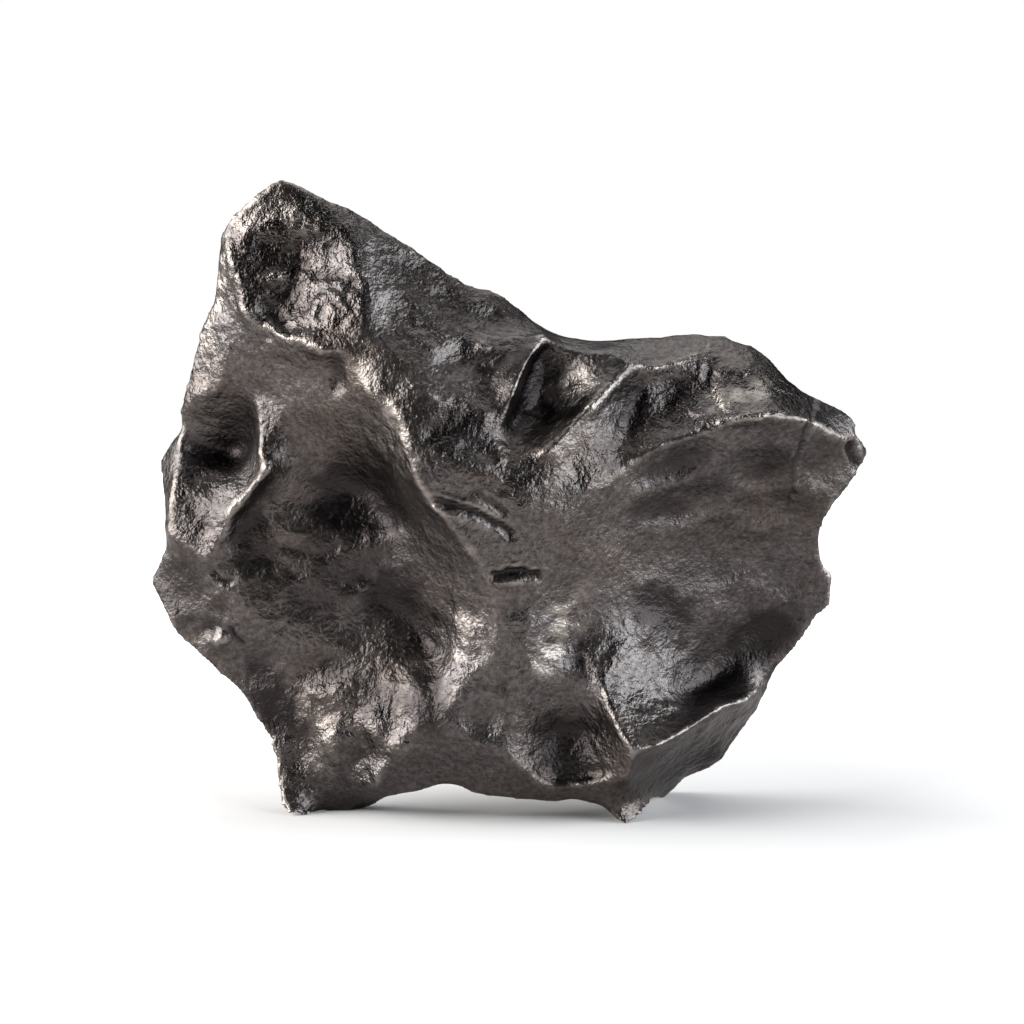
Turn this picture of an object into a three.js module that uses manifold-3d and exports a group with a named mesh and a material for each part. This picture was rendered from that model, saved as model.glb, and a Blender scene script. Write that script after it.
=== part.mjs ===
// Iron meteorite: one natural piece of metal, standing on edge on three low points of its rim.
// Millimetres, +Z up, front towards -Y. The origin is at the bottom centre of the whole stone.
//
// The stone is described in a slanted frame (x, v, w): x to the right, v up along a plane that
// leans back by VIEW_PITCH, w out of that plane towards the front. The front face is a relief
// w(x, v) inside the outline, the back face another one, and a rim wall joins them.

import * as THREE from 'three';
import Module from 'manifold-3d';
import { mergeVertices } from 'three/addons/utils/BufferGeometryUtils.js';

// Driving dimensions
const VIEW_PITCH = THREE.MathUtils.degToRad(9);
const CENTRE = { x: -4.5, v: 69 };
const LEAN = 0.07;
const LEAN_FROM = 40;
const FOOT_CUT = 0.5;
const GROUND = { side: 400, depth: 100 };
const RIM_BULGE = 0.4;

// How finely the box that is wrapped into the stone is divided
const ACROSS = 43;
const UPWARD = 41;
const THROUGH = 6;
const WALL_FROM = 0.999;

// Tips of the outline (x, v) that a corner of the box must land on: the feet, then the far points.
// A box corner is turned onto each by bending the directions near it, within so many radians.
const TIPS = [
  [29.2, -2.3], [39.3, 3.5], [-36, 1.2], [-52.5, -0.9], [-89.5, 58], [-87.7, 88.5],
  [-55.5, 158.2], [54, 119.8], [89.8, 92], [81.5, 60],
];
const TIP_REACH = 0.07;

// Grid on which the reliefs are worked out
const LOW = { x: -96, v: -10 };
const HIGH = { x: 96, v: 164 };
const SPACINGS = [4, 2, 1];
const SWEEPS = 220;
const OVER_RELAXATION = 1.9;
const WEAR_PASSES = 14;

// Points laid along each curve for every point that describes it
const OUTLINE_STEPS = 4;
const RIDGE_STEPS = 6;

// Corners of the mesh this near to a ridge are moved onto it, at most one for each step along it
const SNAP_REACH = 2.3;
const SNAP_STEP = 3.4;

// Outline of the front face with the depth of its edge (x, v, w), clockwise from the peak
const OUTLINE = [
  [-55.5, 158.2, 17], [-51, 156.3, 17], [-45, 153.2, 16.5], [-39.5, 151.5, 14], [-36.5, 149.5, 14],
  [-31, 146, 14], [-25, 142.5, 14], [-20, 138.5, 13], [-14, 134.5, 12], [-8, 131.7, 11],
  [-4, 131, 11], [-1, 129.5, 11], [4, 125.8, 10], [9, 121.8, 11], [14, 119.4, 12], [20, 118.7, 11],
  [30, 119, 10], [40, 119.8, 9], [45.5, 120.5, 8], [50, 120, 8], [54, 119.8, 8], [57, 118.2, 7],
  [61, 117, 7], [65, 114, 7], [70, 108.5, 7], [75, 105.3, 7], [80, 102.8, 7], [85, 100, 6],
  [86.7, 97.5, 6], [86.6, 95.2, 6], [89.8, 92, 2], [88.8, 88.5, 2], [86, 83.5, 5], [83.5, 79.8, 6],
  [81.5, 78, 7], [79.2, 74, 6.5], [78, 69, 5], [78, 65, 3.5], [79.5, 61.5, 1], [81.5, 60, -1.5],
  [81, 57, -1.5], [81, 53, -1.5], [78.5, 50, -2], [74, 44, -3], [70.5, 40, -3.5], [66.5, 35, -4],
  [64, 29, -6], [60, 22, -8], [56, 17, -10], [53.5, 13.5, -11], [50, 11, -12], [45, 9, -15],
  [42, 6.5, -18], [39.3, 3.5, -21.7], [37.5, 3.7, -19], [36.2, 3.4, -4], [34.3, 1.2, 9],
  [31.5, -1.2, 12.5], [29.2, -2.3, 14.6], [27, -1, 13.5], [24, 2, 12.5], [20, 3, 12],
  [16.5, 3.8, 12], [10, 3.4, 11.5], [3, 3.8, 12], [-3, 4.5, 12], [-9, 5.8, 11], [-13.5, 7.8, 10],
  [-18, 7.5, 9.5], [-21, 6.3, 9], [-25, 5.5, 8], [-30, 4.3, 4.5], [-33.5, 2.4, -3],
  [-36, 1.2, -7.6], [-40, 0.5, -3.2], [-44, 0.6, -3.8], [-48, 0.2, -1.3], [-52.5, -0.9, 5.7],
  [-56, 1.3, 3], [-57.2, 4, 2], [-57.8, 10, 1], [-58.3, 14, 1], [-60, 19, 1], [-63.5, 25, 0],
  [-65, 28.5, 0], [-69, 32.8, 0], [-73, 35.5, 0], [-75, 37, 0], [-78, 40.5, 0], [-82.5, 45, -1],
  [-84.5, 48, -1], [-87, 52.5, -2], [-89.5, 58, -5], [-89.3, 59.5, -5], [-87, 64, -2],
  [-86, 66.5, -1], [-85.8, 71, -2], [-86, 77, -3], [-87, 84, -6], [-87.7, 88.5, -9],
  [-86.5, 90.5, -8], [-84, 94, -5], [-81.5, 96.5, -3], [-81.7, 99, -3], [-82, 101.5, -2],
  [-80.5, 106.5, 0], [-79, 112, 2], [-77, 119, 4], [-74.5, 126, 7], [-73, 129, 8.5],
  [-72.5, 133, 9.5], [-71.8, 140, 10.5], [-71.5, 144, 11], [-70.5, 146.5, 13], [-68, 150, 14.5],
  [-64, 153, 15.5], [-60, 156.5, 16.5], [-57, 158, 17],
];

// Outline of the back face, a little inside the front one
const BACK_OUTLINE = [
  [-55, 152, 7], [-44, 147, 4], [-34, 142, 2], [-22, 134, 0], [-8, 126, -2], [6, 119, -3],
  [20, 114, -5], [36, 114, -6], [50, 114, -7], [61, 110, -8], [71, 101, -8], [80, 95, -8],
  [82, 87, -9], [77, 77, -8], [73.5, 66, -8], [75, 57, -10], [70, 46, -12], [62, 36, -16],
  [57, 27, -22], [52, 18, -25], [46, 11.5, -27.5], [40.5, 6.6, -28.5], [35, 7.6, -26],
  [25, 10, -14], [14, 11, -8], [0, 11, -6], [-14, 12, -6], [-26, 9.5, -8], [-37, 6, -12],
  [-46, 7, -11], [-53, 11, -9], [-56, 21, -10], [-63, 33, -11], [-73, 42, -11], [-80, 51, -12],
  [-83, 58, -14], [-80, 68, -13], [-80, 80, -13], [-81, 89, -14], [-76, 100, -11], [-73, 112, -8],
  [-69, 124, -5], [-66, 136, -1], [-64, 146, 4],
];

// Crisp ridges of the front face (x, v, w), each along its highest line
const FRONT_RIDGES = {
  blockLip: [
    [-71.3, 144.5, 11.5], [-69.8, 141, 16], [-68.3, 136.5, 18], [-66.3, 131.5, 19.5],
    [-65, 127, 20], [-63.8, 123.8, 19.5], [-61, 122, 20], [-57.5, 120.5, 21.5], [-54, 118.8, 24],
    [-50, 117.5, 26.5], [-45, 115.3, 28.5], [-41, 115.5, 29], [-37, 117, 29], [-33.2, 119, 29],
  ],
  main: [
    [-37, 117, 29], [-38, 113, 28.5], [-36.5, 109.5, 29.5], [-34.3, 105.8, 31], [-32, 102.7, 32],
    [-28.5, 100.8, 33], [-26, 97.5, 34], [-24.7, 92.5, 34.5], [-24, 88, 34.5], [-23, 84, 34.5],
    [-21, 81, 34.5], [-18, 77.5, 34], [-15, 73.5, 33.5], [-12, 70, 33], [-8.5, 65.5, 31.5],
    [-5.5, 61, 30], [-4, 57, 29], [-3.3, 52, 27.5], [-3.4, 47, 26], [-4.2, 42, 25], [-5.5, 38, 24],
    [-9.5, 34.7, 22.5], [-13, 31, 21.5], [-14.7, 27, 20.5], [-15, 22.5, 20],
  ],
  second: [
    [-33.2, 119, 29], [-30, 115, 30.5], [-26.5, 111.5, 31.5], [-23.5, 107.8, 33], [-20, 105, 34],
    [-17.5, 103.2, 34],
  ],
  pitRim: [
    [9, 119.3, 20], [12, 117.2, 20], [16, 115.8, 20], [20, 115.6, 20], [25.5, 115.3, 20.5],
    [29, 113.6, 21.5], [30, 112.5, 22], [28.6, 109.5, 23.8], [25, 106, 26.4], [21, 102.5, 29.2],
    [17, 98.5, 30.8], [13, 94, 33], [9, 90.6, 34], [6, 88.8, 33.5], [3, 88.3, 32.5],
    [0.8, 89.5, 31.5], [-1, 92.5, 30], [-1.5, 96, 30], [-0.6, 100, 30.5], [1.2, 104.5, 30.5],
    [3, 109, 29.5], [4.8, 113, 27], [7.2, 116.8, 23.5], [9, 119.3, 20],
  ],
  ledge: [
    [30, 112.5, 22], [35, 111.6, 20.5], [40, 112.3, 19], [46, 114.5, 16], [50, 117.2, 11.5],
  ],
  rightBrow: [
    [12.5, 71.2, 31], [15.5, 75, 31], [20, 79.3, 29.6], [26, 84.2, 27.4], [32, 88.6, 26],
    [38, 92, 26.2], [45, 94.5, 25.5], [52, 97, 26], [60, 99.4, 28], [68, 99.1, 25.5],
    [75, 98.4, 20], [80, 94.8, 15.5], [83.5, 94, 12], [86.5, 96.3, 6.5],
  ],
  rightLow: [
    [21.6, 45, 19.6], [22, 40, 20.6], [23.7, 33, 22.4], [25.5, 26.5, 24.4], [28, 21, 26.2],
    [31, 17, 27.5],
  ],
  rightSill: [
    [31, 17, 27.5], [34, 17, 27], [38, 18.4, 25.5], [42, 20.4, 23], [46, 22.8, 20.5],
    [50, 25.6, 17.5], [54, 27.6, 14], [58, 28.2, 9], [61, 30, 3.5], [64, 33, -3],
  ],
  apronLip: [
    [31, 17, 27.5], [30.5, 13, 25.5], [29, 10, 22.5], [25, 9, 19.5], [20, 8.6, 17],
    [14, 7.8, 15.5], [10, 7.2, 15.8], [6, 10, 17.5], [2, 13.2, 19.3], [-1.5, 16.5, 20.5],
    [-6, 18.5, 20.8], [-11, 20, 20.3], [-15, 21.5, 19.5], [-20, 21.8, 18], [-25, 20.5, 16],
    [-28, 17, 14], [-30.5, 13, 12], [-33, 8, 9], [-35.5, 4.5, 3],
  ],
  edgePitBrow: [
    [-81, 99, -1.5], [-79.5, 103, 3], [-75, 106, 7], [-70, 107.3, 9.5], [-65, 106.8, 10.5],
    [-61, 105.2, 12], [-57.5, 102.5, 13.5], [-54.8, 98.5, 14.5],
  ],
  edgePitRight: [
    [-62.2, 105.6, 11.4], [-62.3, 101, 12], [-62, 95, 13], [-61.8, 90, 14.5], [-60, 86.2, 16.5],
    [-63, 82.2, 15.5], [-66, 78.6, 14], [-69, 75, 12.5], [-70.3, 71, 11], [-72.2, 68, 10],
    [-75, 64.5, 9],
  ],
  edgePitLeft: [
    [-81, 99, -1.5], [-81.6, 95, -1], [-82, 91, -0.5], [-82.4, 86.5, 1], [-83.6, 82, 3],
    [-84.6, 76, 4.5], [-84.3, 70.5, 5.5], [-82, 68, 6.5], [-79, 66.6, 7.5], [-76, 65.2, 8.5],
    [-75, 64.5, 9],
  ],
};

// Softer swells, floors and feet of walls on the front face
const FRONT_SWELLS = {
  blockRight: [
    [-33.2, 119, 29], [-34.5, 124, 28], [-35, 128, 27], [-36, 134, 25.5], [-37.5, 140, 23.5],
    [-39.5, 146, 20.5], [-41, 150.5, 16.5],
  ],
  blockShoulder: [
    [-41, 150.5, 16.5], [-44.5, 147, 19.5], [-50, 145.5, 18.8], [-57, 146, 17.8], [-64, 145.5, 17],
    [-69.8, 141, 16],
  ],
  blockDip: [
    [-41, 143, 20], [-47, 141.5, 17.2], [-54, 140, 15.8], [-61, 140, 16],
  ],
  blockFold: [
    [-55, 137, 17], [-53, 131, 17.5], [-54, 126, 17.5], [-55.5, 122.5, 20],
  ],
  underLip: [
    [-66, 118.5, 15.5], [-62, 117, 17], [-57, 115.5, 18], [-52, 112.5, 20], [-47, 110, 22],
    [-42, 109, 24.5],
  ],
  leftShoulder: [
    [-70.5, 121, 13.5], [-71, 115, 12], [-71.5, 110, 10.5], [-73, 105.5, 8.5],
  ],
  leftBrow: [
    [-54.8, 98.5, 14.5], [-51, 102.5, 17.5], [-46, 102, 20], [-40, 100.5, 22.5], [-34, 98, 25.5],
    [-30, 95, 28],
  ],
  edgePitCheek: [
    [-54.8, 98.5, 14.5], [-55.5, 93, 14.5], [-56.5, 88, 15], [-60, 86.2, 16.5],
  ],
  edgePitWall: [
    [-64.3, 102, 5], [-64.5, 97, 0.5], [-64.8, 92, -2.5], [-65.5, 89, -3.5],
  ],
  edgePitFloor: [
    [-79, 93, -3], [-74, 90.5, -4.5], [-69, 89.5, -5], [-65.5, 89, -3.5],
  ],
  edgePitBar: [
    [-82.2, 86.5, 1], [-77, 86, 1.5], [-71, 85.5, 3], [-66, 85.8, 7], [-62.5, 86.5, 13],
  ],
  edgePitLow: [
    [-78, 83, 3.5], [-77.5, 77, 6], [-77, 71, 7.2],
  ],
  edgePitFoot: [
    [-58.5, 82, 9.5], [-61.5, 78, 8.5], [-65, 74, 7.8], [-67.3, 70, 7.4], [-68.8, 66, 7.4],
    [-70.3, 62, 8],
  ],
  leftHighFloor: [
    [-50, 81, 9], [-44, 80.5, 8], [-37, 80.5, 8], [-31, 81.5, 9.5],
  ],
  leftDeep: [
    [-54, 77, 8.8], [-47, 75, 7.8], [-40, 74.3, 7.8], [-33, 75, 8.1], [-27.5, 76, 9.5],
  ],
  leftShelf: [
    [-58, 74.5, 9.8], [-52, 72, 10], [-46, 70.7, 10.2], [-40, 70.3, 10.6], [-34, 70, 11],
    [-28, 70, 12], [-23, 70.5, 15],
  ],
  lowRise: [
    [-28, 31, 14.2], [-23.5, 32, 15.6], [-19, 33, 16.8],
  ],
  leftFloor: [
    [-32, 55, 6.5], [-26, 50, 7], [-20, 45, 8], [-19, 40, 9.5],
  ],
  cheek: [
    [-75, 64.5, 9], [-73.3, 60.5, 8.5], [-70.5, 56.5, 8.5], [-66.5, 52.5, 8.5], [-62, 47.3, 8],
    [-57, 44.3, 8], [-50, 42.5, 8], [-44, 41, 8],
  ],
  lowFold: [
    [-53, 33, 4.2], [-49.2, 31, 6.2], [-45.6, 29.5, 8], [-42.9, 32, 9], [-38.5, 32.5, 9.5],
    [-33, 33, 11],
  ],
  footField: [
    [-54, 24, 1.4], [-52, 16, 1.2], [-50, 10, 1],
  ],
  squareBrow: [
    [-17.5, 103.2, 34], [-13, 101, 33.5], [-9.5, 99.5, 33], [-5, 97.5, 31.5], [-1.5, 96, 30],
  ],
  plateauLip: [
    [-20.5, 89, 36], [-15, 88.5, 36.8], [-9, 87.5, 36.6], [-3.5, 86, 36],
  ],
  topValley: [
    [-4.5, 117, 22.8], [-5.5, 110, 24.4], [-5.8, 104, 27],
  ],
  pitFloor: [
    [23.5, 109.5, 24], [19, 107.5, 21.9], [15, 105.5, 20], [11.5, 103, 18.5], [8, 100, 18.6],
  ],
  pitSlope: [
    [21.5, 112.5, 22.8], [17.5, 111.5, 20.9], [13, 110.5, 18.7],
  ],
  pitBed: [
    [12, 113, 17.5], [10.5, 109, 17.2], [8.5, 105, 17.6], [6.5, 101.5, 19],
  ],
  pitFoot: [
    [9.5, 116, 16.5], [7, 112.5, 16.5], [5.2, 109, 17], [3.8, 104.5, 18.5], [2.2, 100, 21],
    [1.2, 96, 24],
  ],
  bulge: [
    [6, 88.5, 33.5], [5, 82, 35.5], [4.5, 77, 35.5], [4.2, 74.5, 34.5],
  ],
  bulgeFoot: [
    [-2, 74, 32], [2, 72.5, 31.5], [6, 71.7, 31.2], [10, 71.3, 31], [12.5, 71.2, 31],
  ],
  pitValley: [
    [32.5, 108.5, 18], [30, 102, 18.3], [30, 95, 20.5], [30.5, 91.5, 23],
  ],
  noseLeft: [
    [13, 92, 32.6], [12.6, 86, 32.6],
  ],
  noseRight: [
    [18.8, 96, 29.4], [18.4, 86, 29],
  ],
  finLeft: [
    [22, 101, 28.4], [21, 94, 28.4],
  ],
  finRight: [
    [27, 104.5, 21.5], [26.8, 95, 22],
  ],
  knee: [
    [23.5, 91, 28], [22.5, 87, 29.6], [20.5, 82, 30.4], [17.5, 78, 31],
  ],
  overBrow: [
    [41, 109, 15.5], [42, 104, 16.8], [41, 98, 20.5],
  ],
  rightDome: [
    [46, 103, 19.3], [52, 105, 20.8], [58, 106.3, 21.5], [63, 106.5, 20.5],
  ],
  rightCrest: [
    [67, 101, 25], [65.5, 104.5, 22], [62.5, 109, 18.5], [58, 113.5, 15], [55, 117.5, 10.5],
  ],
  rightHigh: [
    [26.5, 83.5, 27], [25.4, 79, 25.3], [26, 74, 23.4], [27, 68, 21.7], [26.8, 62, 20.4],
    [25.2, 56, 19.4], [22.7, 50, 19.2], [21.6, 45, 19.6],
  ],
  fieldRight: [
    [12.5, 71.2, 31], [10.5, 66, 30], [8.5, 60, 28.8], [5.8, 54, 27.4], [4.9, 48, 27],
    [4.7, 43, 26.8], [5, 38.5, 25.8],
  ],
  rightShoulder: [
    [30, 60, 17], [30.5, 52, 16.2], [30.5, 44, 16.6], [31, 36, 17.6], [31.5, 29, 18.8],
    [33, 23, 22],
  ],
  rightFoot: [
    [44, 29, 4], [52, 33, -1], [58, 38, -2], [66, 44.5, -2.5],
  ],
  rightMiddle: [
    [34, 55, 14], [39, 53, 11.4], [44, 51.5, 9], [50, 51, 6.4], [56, 52, 4],
  ],
  rightFloor: [
    [44, 35, 4.5], [50, 38.5, 0.5], [56, 43, -1], [62, 48.5, -1.5],
  ],
  fieldStep: [
    [18, 56.5, 21.6], [16.5, 51, 20.9], [15, 46, 20.4], [13, 42, 20.6],
  ],
  bowlTop: [
    [-1, 28.5, 22], [1, 31, 23.3], [4.5, 34.5, 24.6], [8.5, 37.3, 23], [12, 39.7, 20.8],
    [15.5, 42.8, 19.2], [18.5, 43.8, 18.9], [21.6, 45, 19.6],
  ],
  bowlLeft: [
    [-1, 28.5, 22], [0.3, 25, 21.5], [0.3, 21, 21], [-1, 17, 20.5],
  ],
  bowlFloor: [
    [8, 19, 15], [10.5, 21, 13.6], [14.5, 22, 13], [20, 21.5, 13.6], [23, 20, 15.5],
  ],
  bowlFoot: [
    [8, 12.5, 14.6], [10.5, 10.3, 13.6], [14, 9.4, 13.2], [20, 10, 13.8], [23.5, 11.5, 15.5],
  ],
};

// Ridges of the back face; the first one runs down to the rear foot
const BACK_RIDGES = {
  spine: [
    [-50, 140, -1], [-46, 122, -9], [-38, 102, -15], [-24, 86, -19], [-6, 72, -21], [12, 58, -23],
    [27, 42, -26], [36, 26, -29], [40.5, 12, -29],
  ],
  toLeftFoot: [
    [-24, 86, -19], [-34, 68, -19], [-45, 52, -18], [-52, 36, -15], [-52, 22, -12],
  ],
  toTop: [
    [-6, 72, -21], [4, 88, -18], [20, 100, -14], [38, 108, -9],
  ],
  toRight: [
    [12, 58, -23], [32, 66, -20], [54, 72, -16], [70, 78, -10],
  ],
  toLeft: [
    [-38, 102, -15], [-56, 94, -16], [-74, 90, -14],
  ],
  toBottom: [
    [12, 58, -23], [2, 42, -20], [-10, 27, -15], [-18, 14, -8],
  ],
};

// Hollows pressed in between the ridges (x, v, half width, half height, turn in degrees, depth)
const FRONT_HOLLOWS = {
  leftHigh: [-40, 86, 18, 12, -10, 4],
  right: [60, 62, 18, 20, 20, 3],
  deepPit: [14, 106, 9, 7, 40, 2],
  bottomBowl: [14, 21, 9, 9, 0, 1],
};
const BACK_HOLLOWS = {
  high: [-14, 108, 18, 13, -35, 6],
  highLeft: [-58, 116, 10, 13, 0, 4],
  left: [-58, 68, 17, 15, 0, 7],
  middle: [-20, 50, 14, 20, 20, 4],
  highRight: [34, 86, 20, 11, -15, 6],
  right: [52, 48, 16, 15, 30, 1],
  low: [16, 28, 11, 14, 0, 6],
  lowLeft: [-36, 24, 12, 11, 0, 4],
};

// Thumbprints: smaller round dents that meet in soft edges, same values as the hollows
const FRONT_DENTS = [
  [-15, 96, 8, 5, 20, 1.8], [-9, 91.5, 8, 3, -15, 1.4], [-13, 113, 7, 4.5, 25, 1.6],
  [-25, 135, 12, 5, -40, 1.2], [-14, 127, 10, 4.5, -40, 1.3], [-27, 123, 5.5, 8, 15, 0.9],
  [-5, 123, 6.5, 3.5, -25, 1.6], [41, 88, 13, 5.5, 20, 2.4], [63, 86, 10, 6, 5, 2.6],
  [77, 88, 6, 7, 0, 2], [70, 66, 11, 13, 0, 1.4], [50, 66, 15, 10, 20, 1.4],
  [36, 67, 9, 9, 20, 1.4], [43, 77.5, 15, 6, 15, 2.2], [64, 77, 11, 6, -5, 1.8],
  [-52, 92, 8, 10, -15, 1.6], [-37, 85, 9, 8, 0, 1.6], [-57, 63, 10, 7, 20, 0.9],
  [-31, 62, 12, 6, 15, 0.8], [-50, 54, 12, 6, -25, 0.8], [-38, 47, 9, 6, -15, 0.8],
  [-18, 60, 7, 9, 30, 1.3], [-47, 36.5, 8, 5, 0, 1.3], [-63, 38, 8, 6, 30, 1.2],
  [-80, 57, 7, 8, 30, 1.4], [-78, 46, 6, 5, 30, 1.2], [-6.5, 24, 6, 6, 0, 1.6],
  [44, 15, 9, 6, 30, 1.6], [56, 22, 6, 6, 30, 1.6], [58, 106, 6, 5, 0, 1.4],
  [48, 107, 5, 5, 0, 1.2], [-58.5, 124.5, 4, 3, 30, 1], [-42.5, 110, 2.4, 6, 10, 2],
  [-37, 14, 6, 5, 20, 1.5],
];
const BACK_DENTS = [
  [-24, 122, 12, 9, -35, 3], [0, 104, 12, 9, -30, 3], [-62, 130, 8, 10, 0, 2.5],
  [-60, 106, 11, 9, 0, 3], [-68, 76, 10, 11, 0, 3], [-50, 62, 11, 11, 0, 3], [-66, 52, 9, 9, 0, 3],
  [-24, 62, 10, 11, 0, 3], [-14, 42, 12, 11, 0, 3], [-30, 36, 9, 10, 0, 3], [24, 82, 11, 9, 0, 3],
  [44, 92, 12, 9, 0, 3], [62, 92, 9, 9, 0, 3], [40, 56, 11, 10, 0, 3], [60, 58, 10, 10, 0, 3],
  [50, 34, 11, 10, 30, 3], [14, 38, 9, 10, 0, 3], [22, 20, 9, 9, 0, 3], [-38, 18, 10, 8, 0, 2.5],
  [0, 22, 9, 8, 0, 2.5],
];

// Small lumps that stand out of the skin, same values, the last being how far they stand out
const FRONT_LUMPS = [
  [-43, 18, 7, 9, 0, 2.8], [-33, 22, 5, 7, 0, 1.6], [-27, 16, 5, 6, 0, 1.2], [-22, 29, 5, 9, 0, 1],
  [-11, 45, 7, 7, 0, 1.8], [-12, 37, 5, 5, 0, 1.2], [-44, 127, 7, 6, 0, 1.2],
  [-58, 134, 6, 3, 20, 1.3], [-6, 117, 3.5, 3, 0, 1.6], [-72, 43.5, 3.5, 3.5, 0, 1.4],
  [-45, 147, 4, 3, 30, 1], [16, 106, 6, 3, 30, 0.8], [-60, 13, 3, 6, 0, 0.8], [28, 40, 5, 7, 0, 1],
  [35, 46, 4, 5, 0, 1.2], [40, 37, 4, 6, 0, 1.2], [56, 103, 5, 3, 20, 0.6], [-64, 60, 6, 4, 0, 1],
  [-36, 56, 6, 3, 10, 1], [-50, 24, 5, 6, 0, 1],
];

// Dents in the rim wall (direction and half width in degrees, place and half depth as a share of
// the wall's thickness, how deep in millimetres)
const WALL_DENTS = [
  { towards: 127, halfAngle: 4, through: 0.5, halfThrough: 0.6, depth: 2 },
  { towards: 110, halfAngle: 8, through: 0.55, halfThrough: 0.6, depth: 3 },
  { towards: 96, halfAngle: 8, through: 0.5, halfThrough: 0.6, depth: 3.5 },
  { towards: 82, halfAngle: 7, through: 0.6, halfThrough: 0.5, depth: 3 },
  { towards: 62, halfAngle: 7, through: 0.5, halfThrough: 0.6, depth: 3 },
  { towards: 47, halfAngle: 6, through: 0.45, halfThrough: 0.6, depth: 2.5 },
  { towards: 29, halfAngle: 8, through: 0.5, halfThrough: 0.6, depth: 3 },
  { towards: 5, halfAngle: 7, through: 0.5, halfThrough: 0.6, depth: 3 },
  { towards: -14, halfAngle: 9, through: 0.5, halfThrough: 0.6, depth: 3.5 },
  { towards: -33, halfAngle: 7, through: 0.4, halfThrough: 0.5, depth: 4 },
  { towards: -48, halfAngle: 6, through: 0.45, halfThrough: 0.5, depth: 3 },
  { towards: -80, halfAngle: 9, through: 0.5, halfThrough: 0.6, depth: 4 },
  { towards: -99, halfAngle: 9, through: 0.5, halfThrough: 0.6, depth: 3.5 },
  { towards: -138, halfAngle: 7, through: 0.5, halfThrough: 0.6, depth: 3 },
  { towards: -156, halfAngle: 8, through: 0.5, halfThrough: 0.6, depth: 3 },
  { towards: 172, halfAngle: 8, through: 0.5, halfThrough: 0.6, depth: 3 },
  { towards: 155, halfAngle: 7, through: 0.5, halfThrough: 0.6, depth: 3 },
  { towards: 140, halfAngle: 6, through: 0.5, halfThrough: 0.6, depth: 3 },
];

// A smooth curve through (x, v, w) points, as closely spaced points
function curvePoints(points, closed, perPoint) {
  const controls = points.map(([x, v, w]) => new THREE.Vector3(x, v, w));
  const curve = new THREE.CatmullRomCurve3(controls, closed, 'catmullrom', 0.5);
  return curve.getPoints(points.length * perPoint);
}

// Squared distance of (x, v) from the middle of an oval, 1 on its edge
function ovalReach([x, v, halfWidth, halfHeight, turn], atX, atV) {
  const angle = THREE.MathUtils.degToRad(turn);
  const along = (atX - x) * Math.cos(angle) + (atV - v) * Math.sin(angle);
  const across = (atV - v) * Math.cos(angle) - (atX - x) * Math.sin(angle);
  return (along / halfWidth) ** 2 + (across / halfHeight) ** 2;
}

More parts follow.
